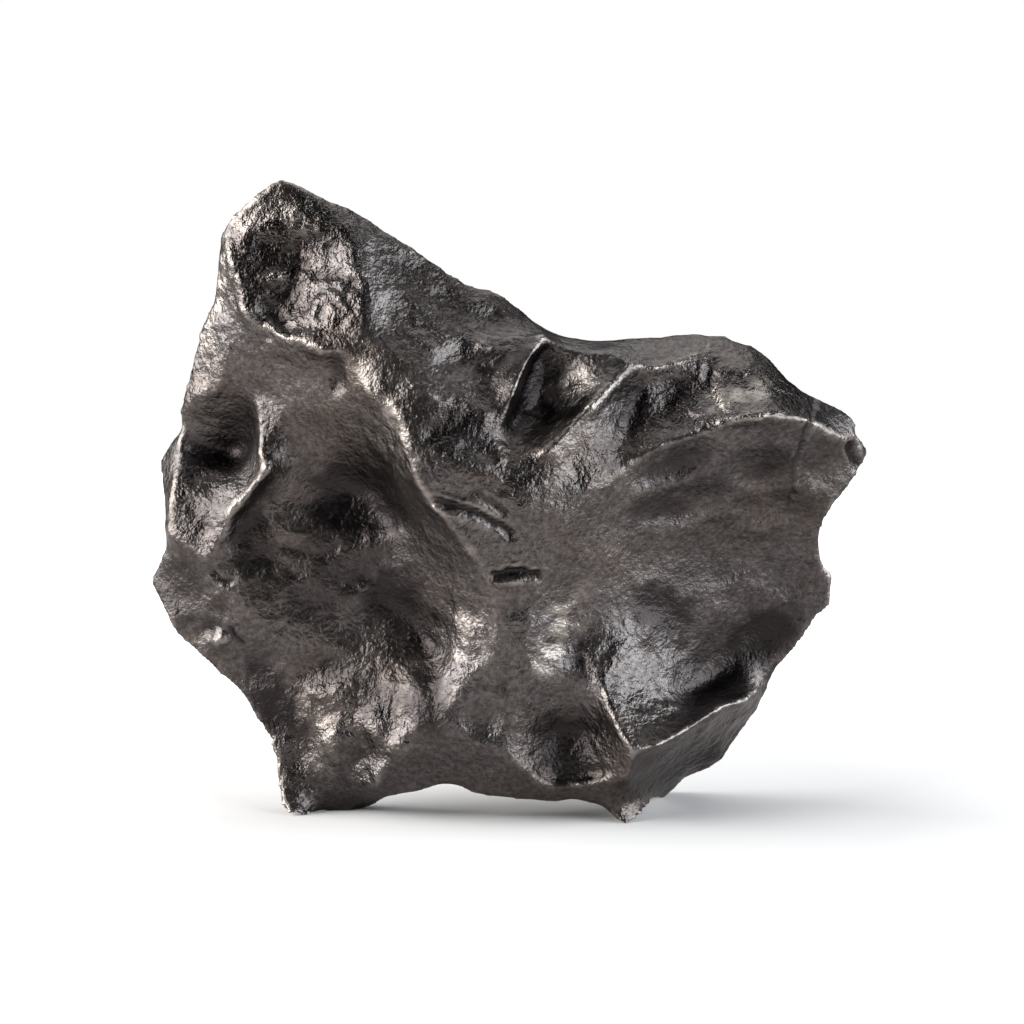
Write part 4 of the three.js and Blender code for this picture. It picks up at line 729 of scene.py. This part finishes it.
    def read(self, values: np.ndarray, x: np.ndarray, v: np.ndarray) -> np.ndarray:
        """A grid's value at any places, between the four nearest cells.

        Args:
            values: the grid, as fine as the heights.
            x: the places' x.
            v: the places' v.

        Returns:
            One value for every place.
        """
        rows, columns = values.shape
        column = np.clip((x - self.LOW[0]) / self.spacing, 0, columns - 1.001)
        row = np.clip((v - self.LOW[1]) / self.spacing, 0, rows - 1.001)
        left = column.astype(int)
        below = row.astype(int)
        right = column - left
        above = row - below
        lower = values[below, left] * (1 - right) + values[below, left + 1] * right
        upper = values[below + 1, left] * (1 - right) + values[below + 1, left + 1] * right
        return lower * (1 - above) + upper * above


class Rim:
    """An outline that can be asked for its points in any direction from the centre."""

    DIRECTIONS = 1440

    def __init__(self, points: list[Point]) -> None:
        """Finds the farthest point of the outline in every direction.

        Args:
            points: the outline's points, all the way round.
        """
        self.curve = curve_points(points, True, OUTLINE_STEPS)
        self.angles = np.linspace(-math.pi, math.pi, self.DIRECTIONS + 1)
        start = self.curve[:-1]
        end = self.curve[1:]
        self.table = np.zeros((len(self.angles), 3))
        for index, angle in enumerate(self.angles):
            ahead = np.array([math.cos(angle), math.sin(angle)])
            aside = np.array([-ahead[1], ahead[0]])
            from_side = (start[:, :2] - CENTRE) @ aside
            to_side = (end[:, :2] - CENTRE) @ aside
            crosses = (from_side * to_side <= 0) & (from_side != to_side)
            share = from_side[crosses] / (from_side[crosses] - to_side[crosses])
            found = start[crosses] + (end[crosses] - start[crosses]) * share[:, None]
            self.table[index] = found[np.argmax((found[:, :2] - CENTRE) @ ahead)]

    def at(self, angle: np.ndarray) -> np.ndarray:
        """The outline's points in those directions, one row each."""
        columns = [np.interp(angle, self.angles, column) for column in self.table.T]
        return np.stack(columns, axis=1)


def upright(places: np.ndarray) -> np.ndarray:
    """Turns (x, v, w) in millimetres into the row frame in metres.

    Args:
        places: the places, one row each.

    Returns:
        The same places upright, one row each.
    """
    x, v, w = places.T
    out = w + LEAN * np.maximum(0, v - LEAN_FROM)
    y = v * math.sin(VIEW_PITCH) - out * math.cos(VIEW_PITCH) - BOTTOM_CENTRE[1]
    z = v * math.cos(VIEW_PITCH) + out * math.sin(VIEW_PITCH) - FOOT_CUT
    return np.stack([x - BOTTOM_CENTRE[0], y, z], axis=1) * MM


def slanted(points: np.ndarray) -> np.ndarray:
    """The x and v of places given in the row frame, in millimetres.

    Args:
        points: the upright places in metres, one row each.

    Returns:
        The x and v, one row each.
    """
    y = points[:, 1] / MM + BOTTOM_CENTRE[1]
    z = points[:, 2] / MM + FOOT_CUT
    v = y * math.sin(VIEW_PITCH) + z * math.cos(VIEW_PITCH)
    return np.stack([points[:, 0] / MM + BOTTOM_CENTRE[0], v], axis=1)


def carving(places: np.ndarray, marks: dict[str, Mark]) -> np.ndarray:
    """How far the marks cut in at every (x, v) place, in millimetres, below 0 where they stand out.

    Args:
        places: the places, one row each.
        marks: the marks.

    Returns:
        One depth for every place.
    """
    total = np.zeros(len(places))
    for mark in marks.values():
        line = np.array(mark.line, float)
        nearest = np.full(len(places), np.inf)
        for start, end in zip(line[:-1], line[1:]):
            step = end - start
            share = np.clip((places - start) @ step / (step @ step), 0, 1)
            aside = places - start - share[:, None] * step
            nearest = np.minimum(nearest, np.linalg.norm(aside, axis=1))
        reach = nearest / mark.half_width
        total += mark.depth * np.maximum(0, 1 - reach**2)
        total -= mark.lip * np.exp(-(((reach - LIP_PLACE) / LIP_WIDTH) ** 2))
    return total


class MeshField:
    """The vertices of a mesh as arrays, with what is worked out from their neighbours."""

    def __init__(self, mesh: bpy.types.Mesh) -> None:
        """Reads the mesh."""
        self.mesh = mesh
        count = len(mesh.vertices)
        self.places = np.zeros(count * 3)
        mesh.vertices.foreach_get("co", self.places)
        self.places = self.places.reshape(-1, 3)
        edges = np.zeros(len(mesh.edges) * 2, int)
        mesh.edges.foreach_get("vertices", edges)
        pairs = edges.reshape(-1, 2)
        self.starts = np.concatenate([pairs[:, 0], pairs[:, 1]])
        self.ends = np.concatenate([pairs[:, 1], pairs[:, 0]])
        self.valence = np.maximum(np.bincount(self.starts, minlength=count), 1)

    def around(self, values: np.ndarray) -> np.ndarray:
        """The mean of the neighbours' values at every vertex.

        Args:
            values: one number or one row for every vertex.

        Returns:
            The means, in the same form.
        """
        count = len(self.valence)
        if values.ndim == 1:
            return np.bincount(self.starts, values[self.ends], count) / self.valence
        columns = [self.around(values[:, axis]) for axis in range(values.shape[1])]
        return np.stack(columns, axis=1)

    def smooth(self, values: np.ndarray, passes: int) -> np.ndarray:
        """The values after that many rounds of averaging with their neighbours.

        Args:
            values: one number or one row for every vertex.
            passes: how many rounds.

        Returns:
            The averaged values.
        """
        for _ in range(passes):
            values = (values + self.around(values)) / 2
        return values

    def normals(self) -> np.ndarray:
        """The mesh's vertex normals."""
        self.write()
        found = np.zeros(len(self.valence) * 3)
        self.mesh.vertices.foreach_get("normal", found)
        return found.reshape(-1, 3)

    def write(self) -> None:
        """Moves the mesh's vertices to their new places."""
        self.mesh.vertices.foreach_set("co", self.places.ravel())
        self.mesh.update()

    def keep(self, name: str, values: np.ndarray) -> None:
        """Stores one number for every vertex under a name that the finish can read."""
        layer = self.mesh.attributes.new(name, "FLOAT", "POINT")
        layer.data.foreach_set("value", values.astype(np.float32))


@dataclass(frozen=True)
class SkinForms:
    """The small forms of the skin, with their sizes and heights in millimetres."""

    patch_size: float = 30.0
    swell_size: float = 11.0
    swell_height: float = 0.35
    facet_size: float = 8.0
    facet_height: float = 0.8
    facet_level: float = 0.3
    chip_size: float = 4.2
    chip_shift: Point = (7, 3, 1)
    chip_height: float = 0.3
    chip_least: float = 0.4
    chip_level: float = 0.1
    coarse_grain: float = 3.4
    fine_grain: float = 2.0
    grain_height: float = 0.07
    crust_grain: float = 0.09
    flake_size: float = 2.6
    flake_height: float = 0.55
    knob_size: float = 4.5
    knob_height: float = 0.5

    def height(self, at: Vector, crust: float) -> float:
        """How far the skin stands out at a place, given how rough it is there.

        Args:
            at: the place in millimetres.
            crust: 0 where the skin is smooth, 1 where it is a rough crust.

        Returns:
            The height in millimetres, below 0 where the skin is cut in.
        """
        patch = 0.5 + 0.5 * noise.noise(at / self.patch_size)
        swell = noise.noise(at / self.swell_size) * self.swell_height
        facet = noise.voronoi(at / self.facet_size)[0][0]
        chip = noise.voronoi(at / self.chip_size + Vector(self.chip_shift))[0][0]
        grain = noise.noise(at / self.coarse_grain) + noise.noise(at / self.fine_grain)
        grain *= self.grain_height + self.crust_grain * crust
        flakes = noise.voronoi(at / self.flake_size)[0][0] * self.flake_height
        flakes += noise.noise(at / self.knob_size) * self.knob_height
        facets = patch * (facet**2 * self.facet_height - self.facet_level)
        chips = chip**2 * self.chip_height * (self.chip_least + patch) - self.chip_level
        return swell + facets + chips + grain + crust * flakes


@dataclass
class IronStone:
    """The one natural piece, from a wrapped block to its pitted skin."""

    segments: int = 190
    voxel: float = 0.9 * MM
    name: str = "iron_stone"
    forms: SkinForms = SkinForms()

    # Rounds of averaging that even the skin out, and that its finest and broad forms stand out from
    EVENING_ROUNDS = 2
    FINE_ROUNDS = 4
    BROAD_ROUNDS = 60
    # The noise that wanders: its size, and how many millimetres it moves marks and the patches of
    # painted shade
    WANDER_SIZE = 3 * MM
    MARK_SHIFT = 0.8
    PAINTED_SHADE_SHIFT = 3.0
    # How soon a skin that turns forward counts as the front
    FRONT_GAIN = 3.0
    # Wear comes and goes along the edges: its mean, its swing and its least
    BREAK_LEVEL = 0.6
    BREAK_SWING = 1.6
    BREAK_LEAST = 0.05
    EDGE_GAIN = 8.0
    EDGE_LEVEL = 0.8
    # How dark the painted shade makes the deep floors, the grooves and the hollows
    RECESS_SHADE_SHARE = 0.65
    GROOVE_SHADE_SHARE = 0.8
    HOLLOW_SHADE_SHARE = 0.5

    def build(self) -> bpy.types.Object:
        """Makes the stone's object, at the origin, with its place in its mesh."""
        front = Relief(
            [Rim(OUTLINE).curve] + open_curves(FRONT_RIDGES),
            open_curves(FRONT_SWELLS),
            list(FRONT_HOLLOWS.values()),
            FRONT_DENTS,
            FRONT_LUMPS,
            [wear.line() for wear in WORN_RIDGES],
            Facing.FRONT,
        )
        back = Relief(
            [Rim(BACK_OUTLINE).curve] + open_curves(BACK_RIDGES),
            [],
            list(BACK_HOLLOWS.values()),
            BACK_DENTS,
            [],
            [],
            Facing.BACK,
        )
        block = self._block()
        self._wrap(block, front, back)
        stone = self._remesh(block)
        self._weather(stone.data, front)
        for polygon in stone.data.polygons:
            polygon.use_smooth = True
        return stone

    def _block(self) -> bpy.types.Mesh:
        """A cube of half side 1, finely divided."""
        bm = bmesh.new()
        bmesh.ops.create_cube(bm, size=2)
        bmesh.ops.subdivide_edges(bm, edges=bm.edges[:], cuts=self.segments - 1, use_grid_fill=True)
        mesh = bpy.data.meshes.new("block")
        bm.to_mesh(mesh)
        bm.free()
        return mesh

    def _wrap(self, mesh: bpy.types.Mesh, front: Relief, back: Relief) -> None:
        """Moves the block's vertices onto the stone: across is x, up is v, front is +z.

        Args:
            mesh: the block.
            front: the relief of the front.
            back: the relief of the back.
        """
        places = np.zeros(len(mesh.vertices) * 3)
        mesh.vertices.foreach_get("co", places)
        across, up, depth = places.reshape(-1, 3).T
        wall = np.maximum(np.abs(across), np.abs(up)) > WALL_FROM
        disc_x = across * np.sqrt(1 - up**2 / 2)
        disc_v = up * np.sqrt(1 - across**2 / 2)
        angle = np.arctan2(disc_v, disc_x)
        radius = np.minimum(1, np.hypot(disc_x, disc_v))
        outer = Rim(OUTLINE).at(angle)
        inner = Rim(BACK_OUTLINE).at(angle)
        edge = np.where((depth > 0)[:, None], outer, inner)
        x = CENTRE[0] + (edge[:, 0] - CENTRE[0]) * radius
        v = CENTRE[1] + (edge[:, 1] - CENTRE[1]) * radius
        w = np.where(depth > 0, front.height_at(x, v), back.height_at(x, v))
        outer[:, 2] = front.height_at(outer[:, 0], outer[:, 1])
        inner[:, 2] = back.height_at(inner[:, 0], inner[:, 1])
        result = np.stack([x, v, w], axis=1)
        through = (1 - depth) / 2
        on_wall = outer * (1 - through[:, None]) + inner * through[:, None]
        swell = self._wall_swell(angle, through)
        on_wall[:, 0] += swell * np.cos(angle)
        on_wall[:, 1] += swell * np.sin(angle)
        result[wall] = on_wall[wall]
        mesh.vertices.foreach_set("co", upright(result).ravel())
        mesh.update()

    @staticmethod
    def _wall_swell(angle: np.ndarray, through: np.ndarray) -> np.ndarray:
        """How far the rim wall stands out beyond the straight line between the outlines.

        Args:
            angle: the direction of each place from the centre.
            through: 0 at the front of the wall, 1 at the back.

        Returns:
            One distance in millimetres for every place.
        """
        cut = np.zeros_like(angle)
        for towards, half_angle, place, half_through, depth in WALL_DENTS:
            turned = np.degrees(angle) - towards
            aside = (turned - 360 * np.round(turned / 360)) / half_angle
            along = (through - place) / half_through
            cut = np.maximum(cut, depth * (1 - aside**2 - along**2))
        return (RIM_BULGE - cut) * np.sin(math.pi * through)

    def _remesh(self, block: bpy.types.Mesh) -> bpy.types.Object:
        """Evens the wrapped block out into small squares of one size.

        Args:
            block: the wrapped block.

        Returns:
            The stone's object.
        """
        rough = bpy.data.objects.new("rough", block)
        bpy.context.scene.collection.objects.link(rough)
        remesh = rough.modifiers.new("even", "REMESH")
        remesh.mode = "VOXEL"
        remesh.voxel_size = self.voxel
        graph = bpy.context.evaluated_depsgraph_get()
        mesh = bpy.data.meshes.new_from_object(rough.evaluated_get(graph))
        bpy.data.objects.remove(rough)
        mesh.name = self.name
        stone = bpy.data.objects.new(self.name, mesh)
        bpy.context.scene.collection.objects.link(stone)
        return stone

    def _weather(self, mesh: bpy.types.Mesh, front: Relief) -> None:
        """Cuts the marks and small forms, and notes where the stone is rough, worn or lit by painted
        highlights, and where painted shade goes.

        Args:
            mesh: the stone's mesh.
            front: the relief of the front.
        """
        skin = MeshField(mesh)
        skin.places = skin.smooth(skin.places, self.EVENING_ROUNDS)
        normals = skin.normals()
        flat = slanted(skin.places)
        ahead = np.clip(-normals[:, 1] * self.FRONT_GAIN, 0, 1)
        noise.seed_set(WANDER_SEED)
        moved = [noise.noise_vector(Vector(place) / self.WANDER_SIZE) for place in skin.places]
        wander = np.array(moved)
        cut = carving(flat + wander[:, :2] * self.MARK_SHIFT, MARKS) * ahead
        crust = strongest(CRUSTS, flat, *CRUST_EDGE)
        skin.keep("crust", crust)
        forms = [self.forms.height(Vector(at) / MM, rough) for at, rough in zip(skin.places, crust)]
        skin.places += normals * ((np.array(forms) - cut) * MM)[:, None]
        skin.places[:, 2] = np.maximum(skin.places[:, 2], 0)

        normals = skin.normals()
        fine = self._standing_out(skin, normals, self.FINE_ROUNDS)
        edges = skin.smooth(fine, 2) * self.EDGE_GAIN - self.EDGE_LEVEL
        broken = np.clip(self.BREAK_LEVEL + self.BREAK_SWING * wander[:, 2], self.BREAK_LEAST, 1)
        lines = front.read(front.worn, flat[:, 0], flat[:, 1])
        # Painted highlights: the listed flanks are made brighter; with the worn edges and ridge lines
        # they make one mark of wear and painted highlight
        worn_and_highlight = np.maximum(lines, -carving(flat, PAINTED_HIGHLIGHTS)) * ahead * broken
        skin.keep("worn", np.clip(np.maximum(edges, worn_and_highlight), 0, 1))

        # Painted shade: the deep floors, the grooves, the hollows and the listed patches are made
        # darker
        broad = self._standing_out(skin, normals, self.BROAD_ROUNDS)
        dark = front.read(front.deep, flat[:, 0], flat[:, 1]) * self.RECESS_SHADE_SHARE
        # Painted shade: the listed patches are made darker
        dark += strongest(PAINTED_SHADE_PATCHES, flat + wander[:, :2] * self.PAINTED_SHADE_SHIFT, *PAINTED_SHADE_EDGE)
        dark = np.maximum(dark * ahead, cut * self.GROOVE_SHADE_SHARE)
        skin.keep("painted_shade", np.clip(np.maximum(-broad, 0) * self.HOLLOW_SHADE_SHARE + dark, 0, 1))
        skin.write()

    @staticmethod
    def _standing_out(skin: MeshField, normals: np.ndarray, rounds: int) -> np.ndarray:
        """How many millimetres the skin stands out from its own averaged form."""
        return np.einsum("ij,ij->i", skin.places - skin.smooth(skin.places, rounds), normals) / MM


class Shading:
    """The nodes of a material or of a world, with short ways to add to them."""

    def __init__(self, owner: bpy.types.Material | bpy.types.World) -> None:
        """Switches the owner's nodes on."""
        owner.use_nodes = True
        self.nodes = owner.node_tree.nodes
        self.links = owner.node_tree.links

    def feed(self, node: bpy.types.Node, inputs: dict[str | int, Value]) -> None:
        """Links a node's inputs to sockets, or sets them to values.

        Args:
            node: the node.
            inputs: what each input is linked to or set to, by its name or number.
        """
        for name, value in inputs.items():
            if isinstance(value, bpy.types.NodeSocket):
                self.links.new(value, node.inputs[name])
            else:
                node.inputs[name].default_value = value

    def add(self, kind: str, inputs: dict[str | int, Value], **settings: str) -> bpy.types.Node:
        """Adds a node.

        Args:
            kind: the name of its type, without the common start.
            inputs: what each of its inputs is linked to or set to.
            settings: its other properties.

        Returns:
            The node.
        """
        node = self.nodes.new("ShaderNode" + kind)
        for name, value in settings.items():
            setattr(node, name, value)
        self.feed(node, inputs)
        return node

    def place(self) -> bpy.types.NodeSocket:
        """The place on the object."""
        return self.add("TexCoord", {}).outputs["Object"]

    def camera_ray(self) -> bpy.types.NodeSocket:
        """Whether the camera sees it straight, and not in a reflection."""
        return self.add("LightPath", {}).outputs["Is Camera Ray"]

    def attribute(self, name: str) -> bpy.types.NodeSocket:
        """The number stored on the mesh under that name."""
        return self.add("Attribute", {}, attribute_name=name).outputs["Fac"]

    def math(self, operation: str, first: Value, second: Value) -> bpy.types.NodeSocket:
        """Two numbers put together."""
        return self.add("Math", {0: first, 1: second}, operation=operation).outputs["Value"]

    def noise(
        self, place: Value, scale: float, detail: float, rough: float = 0.5
    ) -> bpy.types.NodeSocket:
        """A noise of that many waves to the metre."""
        inputs = {"Vector": place, "Scale": scale, "Detail": detail, "Roughness": rough}
        return self.add("TexNoise", inputs).outputs["Fac"]

    def stretch(self, value: Value, given: Span, made: Span = (0.0, 1.0)) -> bpy.types.NodeSocket:
        """A value with one span stretched onto another, and held inside it."""
        inputs = {"Value": value, "From Min": given[0], "From Max": given[1]}
        inputs |= {"To Min": made[0], "To Max": made[1]}
        return self.add("MapRange", inputs).outputs["Result"]

    def mix(
        self, factor: Value, first: Value, second: Value, blend: str = "MIX"
    ) -> bpy.types.NodeSocket:
        """A colour mixed from the first to the second by a factor.

        Args:
            factor: 0 for the first, 1 for the second.
            first: a colour.
            second: another colour.
            blend: how the second is put over the first.

        Returns:
            The colour.
        """
        inputs = {"Factor": factor, "A": first, "B": second}
        for name in ("A", "B"):
            if isinstance(inputs[name], tuple):
                inputs[name] = (*inputs[name], 1)
        return self.add("Mix", inputs, data_type="RGBA", blend_type=blend).outputs["Result"]


@dataclass(frozen=True)
class IronFinish:
    """Dark natural iron with worn ridges, a warm patina, painted highlights and painted shade."""

    dark: Point = (0.086, 0.079, 0.078)
    brown: Point = (0.086, 0.073, 0.066)
    # The colour of worn metal and of the painted highlights
    bright: Point = (0.22, 0.20, 0.185)
    # The colour of the painted shade in hollows, grooves and the listed patches
    painted_shade: Point = (0.024, 0.021, 0.021)
    patina_scale: float = 35
    patina_span: Span = (0.42, 0.66)
    mottle_scale: float = 800
    mottle_span: Span = (0.38, 0.62)
    mottle_shade: Span = (0.62, 1.2)
    gloss_scale: float = 260
    roughness: Span = (0.13, 0.37)
    # How much rougher a smooth skin shines than a crust, and its share of the grain
    smooth_dulling: float = 0.09
    smooth_grain: float = 0.7
    # Scale and depth in metres of every size of grain
    grain: tuple[Span, ...] = ((420, 0.00044), (950, 0.00036), (2400, 0.00011))

    def material(self) -> bpy.types.Material:
        """Builds the material."""
        made = bpy.data.materials.new("natural_iron")
        shading = Shading(made)
        place = shading.place()
        crust = shading.attribute("crust")

        patches = shading.noise(place, self.patina_scale, 5, 0.65)
        base = shading.mix(shading.stretch(patches, self.patina_span), self.dark, self.brown)
        mottle = shading.noise(place, self.mottle_scale, 4, 0.7)
        shade = shading.stretch(mottle, self.mottle_span, self.mottle_shade)
        grained = shading.mix(1.0, base, shade, "MULTIPLY")
        # Painted shade: the colour darkens where the mesh carries painted shade
        darker = shading.mix(shading.attribute("painted_shade"), grained, self.painted_shade)
        # Worn edges and ridges, and painted highlights on the listed flanks, lighten the colour
        worn = shading.math("MULTIPLY", shading.attribute("worn"), shade)

        gloss = shading.stretch(shading.noise(place, self.gloss_scale, 3), (0, 1), self.roughness)
        dulling = shading.stretch(crust, (0, 1), (self.smooth_dulling, 0.0))
        strength = shading.stretch(crust, (0, 1), (self.smooth_grain, 1.0))
        shading.feed(
            shading.nodes["Principled BSDF"],
            {
                "Metallic": 1.0,
                "Base Color": shading.mix(worn, darker, self.bright),
                "Roughness": shading.math("ADD", gloss, dulling),
                "Normal": self._grained(shading, place, strength),
            },
        )
        return made

    def _grained(self, shading: Shading, place: Value, strength: Value) -> bpy.types.NodeSocket:
        """Fine pits and grain as a bumped normal.

        Args:
            shading: the material's nodes.
            place: the place on the object.
            strength: how much of the grain shows.

        Returns:
            The normal.
        """
        bumped = {}
        for scale, depth in self.grain:
            inputs = {"Height": shading.noise(place, scale, 2), "Distance": depth, "Strength": strength}
            bumped = {"Normal": shading.add("Bump", inputs | bumped).outputs["Normal"]}
        return bumped["Normal"]


@dataclass(frozen=True)
class FloorFinish:
    """A pale floor: a colour for the camera and another one, with painted shade, for what the iron
    reflects.

    The spans are in metres from the middle of the floor.
    """

    near_black: Point = (0.10, 0.095, 0.095)
    pale: Point = (0.92, 0.87, 0.85)
    # Painted shade in what the iron reflects: dark ahead of the stone, and a painted shadow under it
    # down to that share
    painted_shade_ahead: Span = (-0.36, -0.22)
    painted_shadow_under_stone: Span = (0.0, -0.18)
    painted_shadow_share: float = 0.4
    seen_from: Span = (0.10, 0.34)
    seen_shade: Span = (0.56, 0.95)
    roughness: float = 0.8
    specular: float = 0.1

    def material(self) -> bpy.types.Material:
        """Builds the material."""
        made = bpy.data.materials.new("pale_floor")
        shading = Shading(made)
        place = shading.place()
        ahead = shading.add("SeparateXYZ", {"Vector": place}).outputs["Y"]
        # Painted shade and painted shadow on the floor as the iron reflects it
        edge = shading.stretch(ahead, self.painted_shade_ahead)
        under = shading.stretch(ahead, self.painted_shadow_under_stone, (self.painted_shadow_share, 1.0))
        reflected = shading.mix(shading.math("MULTIPLY", edge, under), self.near_black, self.pale)
        away = shading.add("VectorMath", {0: place}, operation="LENGTH").outputs["Value"]
        seen = shading.stretch(away, self.seen_from, self.seen_shade)
        shading.feed(
            shading.nodes["Principled BSDF"],
            {
                "Base Color": shading.mix(shading.camera_ray(), reflected, seen),
                "Roughness": self.roughness,
                "Specular IOR Level": self.specular,
            },
        )
        return made


@dataclass(frozen=True)
class SoftBox:
    """A rectangular light: its place and size in metres, its power in watts and its colour."""

    name: str
    place: Point
    size: Span
    power: float
    colour: Point

    def build(self) -> None:
        """Makes the light, turned towards the middle of the stone."""
        light = bpy.data.lights.new(self.name, "AREA")
        light.shape = "RECTANGLE"
        light.size, light.size_y = self.size
        light.energy = self.power
        light.color = self.colour
        lamp = bpy.data.objects.new(self.name, light)
        lamp.location = self.place
        towards = Vector(STONE_MIDDLE) - Vector(self.place)
        lamp.rotation_euler = towards.to_track_quat("-Z", "Y").to_euler()
        bpy.context.scene.collection.objects.link(lamp)


SOFT_BOXES = (
    SoftBox("left", (-0.90, -0.12, 0.40), (1.4, 0.75), 36.0, (1.0, 0.98, 0.96)),
    SoftBox("right", (0.92, -0.25, 0.36), (1.7, 0.72), 26.0, (0.92, 0.96, 1.0)),
    SoftBox("top", (0.0, 0.35, 1.1), (1.3, 1.3), 11.0, (1.0, 1.0, 1.0)),
)


@dataclass
class Studio:
    """A plain pale floor, soft boxes at both sides and overhead, and the camera."""

    floor_radius: float = 0.60
    floor_segments: int = 96
    room_colour: Point = (1.0, 0.97, 0.94)
    room_strength: float = 0.012
    camera_distance: float = 2.5
    seen_width: float = 256 * MM
    sensor: float = 36
    # The x and v that the camera looks at, in millimetres
    aim: Span = (1.0, 75.75)

    def build(self) -> None:
        """Makes the floor, the lights, the world and the camera."""
        self._floor()
        for box in SOFT_BOXES:
            box.build()
        self._world()
        self._camera()
        bpy.context.scene.view_settings.view_transform = "Standard"

    def _floor(self) -> None:
        """A round floor."""
        bm = bmesh.new()
        bmesh.ops.create_circle(
            bm, cap_ends=True, segments=self.floor_segments, radius=self.floor_radius
        )
        mesh = bpy.data.meshes.new("floor")
        bm.to_mesh(mesh)
        bm.free()
        floor = bpy.data.objects.new("floor", mesh)
        bpy.context.scene.collection.objects.link(floor)
        mesh.materials.append(FloorFinish().material())

    def _world(self) -> None:
        """White behind the object, dark all round it for what it reflects."""
        world = bpy.data.worlds.new("studio")
        bpy.context.scene.world = world
        shading = Shading(world)
        seen = shading.nodes["Background"]
        shading.feed(seen, {"Color": (1, 1, 1, 1), "Strength": 1.0})
        room = shading.add(
            "Background", {"Color": (*self.room_colour, 1), "Strength": self.room_strength}
        )
        either = shading.add(
            "MixShader",
            {"Fac": shading.camera_ray(), 1: room.outputs["Background"], 2: seen.outputs["Background"]},
        )
        shading.feed(shading.nodes["World Output"], {"Surface": either.outputs["Shader"]})

    def _camera(self) -> None:
        """The camera, square to the slanted plane and aimed at the middle of the picture."""
        camera = bpy.data.cameras.new("camera")
        camera.sensor_width = self.sensor
        camera.lens = self.sensor * self.camera_distance / self.seen_width
        camera.clip_start = 0.05
        seat = bpy.data.objects.new("camera", camera)
        x, v = self.aim
        lean = LEAN * max(0, v - LEAN_FROM)
        target = Vector(upright(np.array([[x, v, -lean]]))[0])
        back = Vector((0, -math.cos(VIEW_PITCH), math.sin(VIEW_PITCH)))
        seat.location = target + back * self.camera_distance
        seat.rotation_euler = (-back).to_track_quat("-Z", "Y").to_euler()
        bpy.context.scene.collection.objects.link(seat)
        bpy.context.scene.camera = seat


def main() -> None:
    """Builds the stone and the studio."""
    stone = IronStone().build()
    stone.data.materials.append(IronFinish().material())
    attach(stone, "root")
    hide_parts("meteorite")
    LOG.info("%s: %d faces", stone.name, len(stone.data.polygons))
    Studio().build()


if __name__ == "__main__":
    logging.basicConfig(level=logging.INFO)
    main()
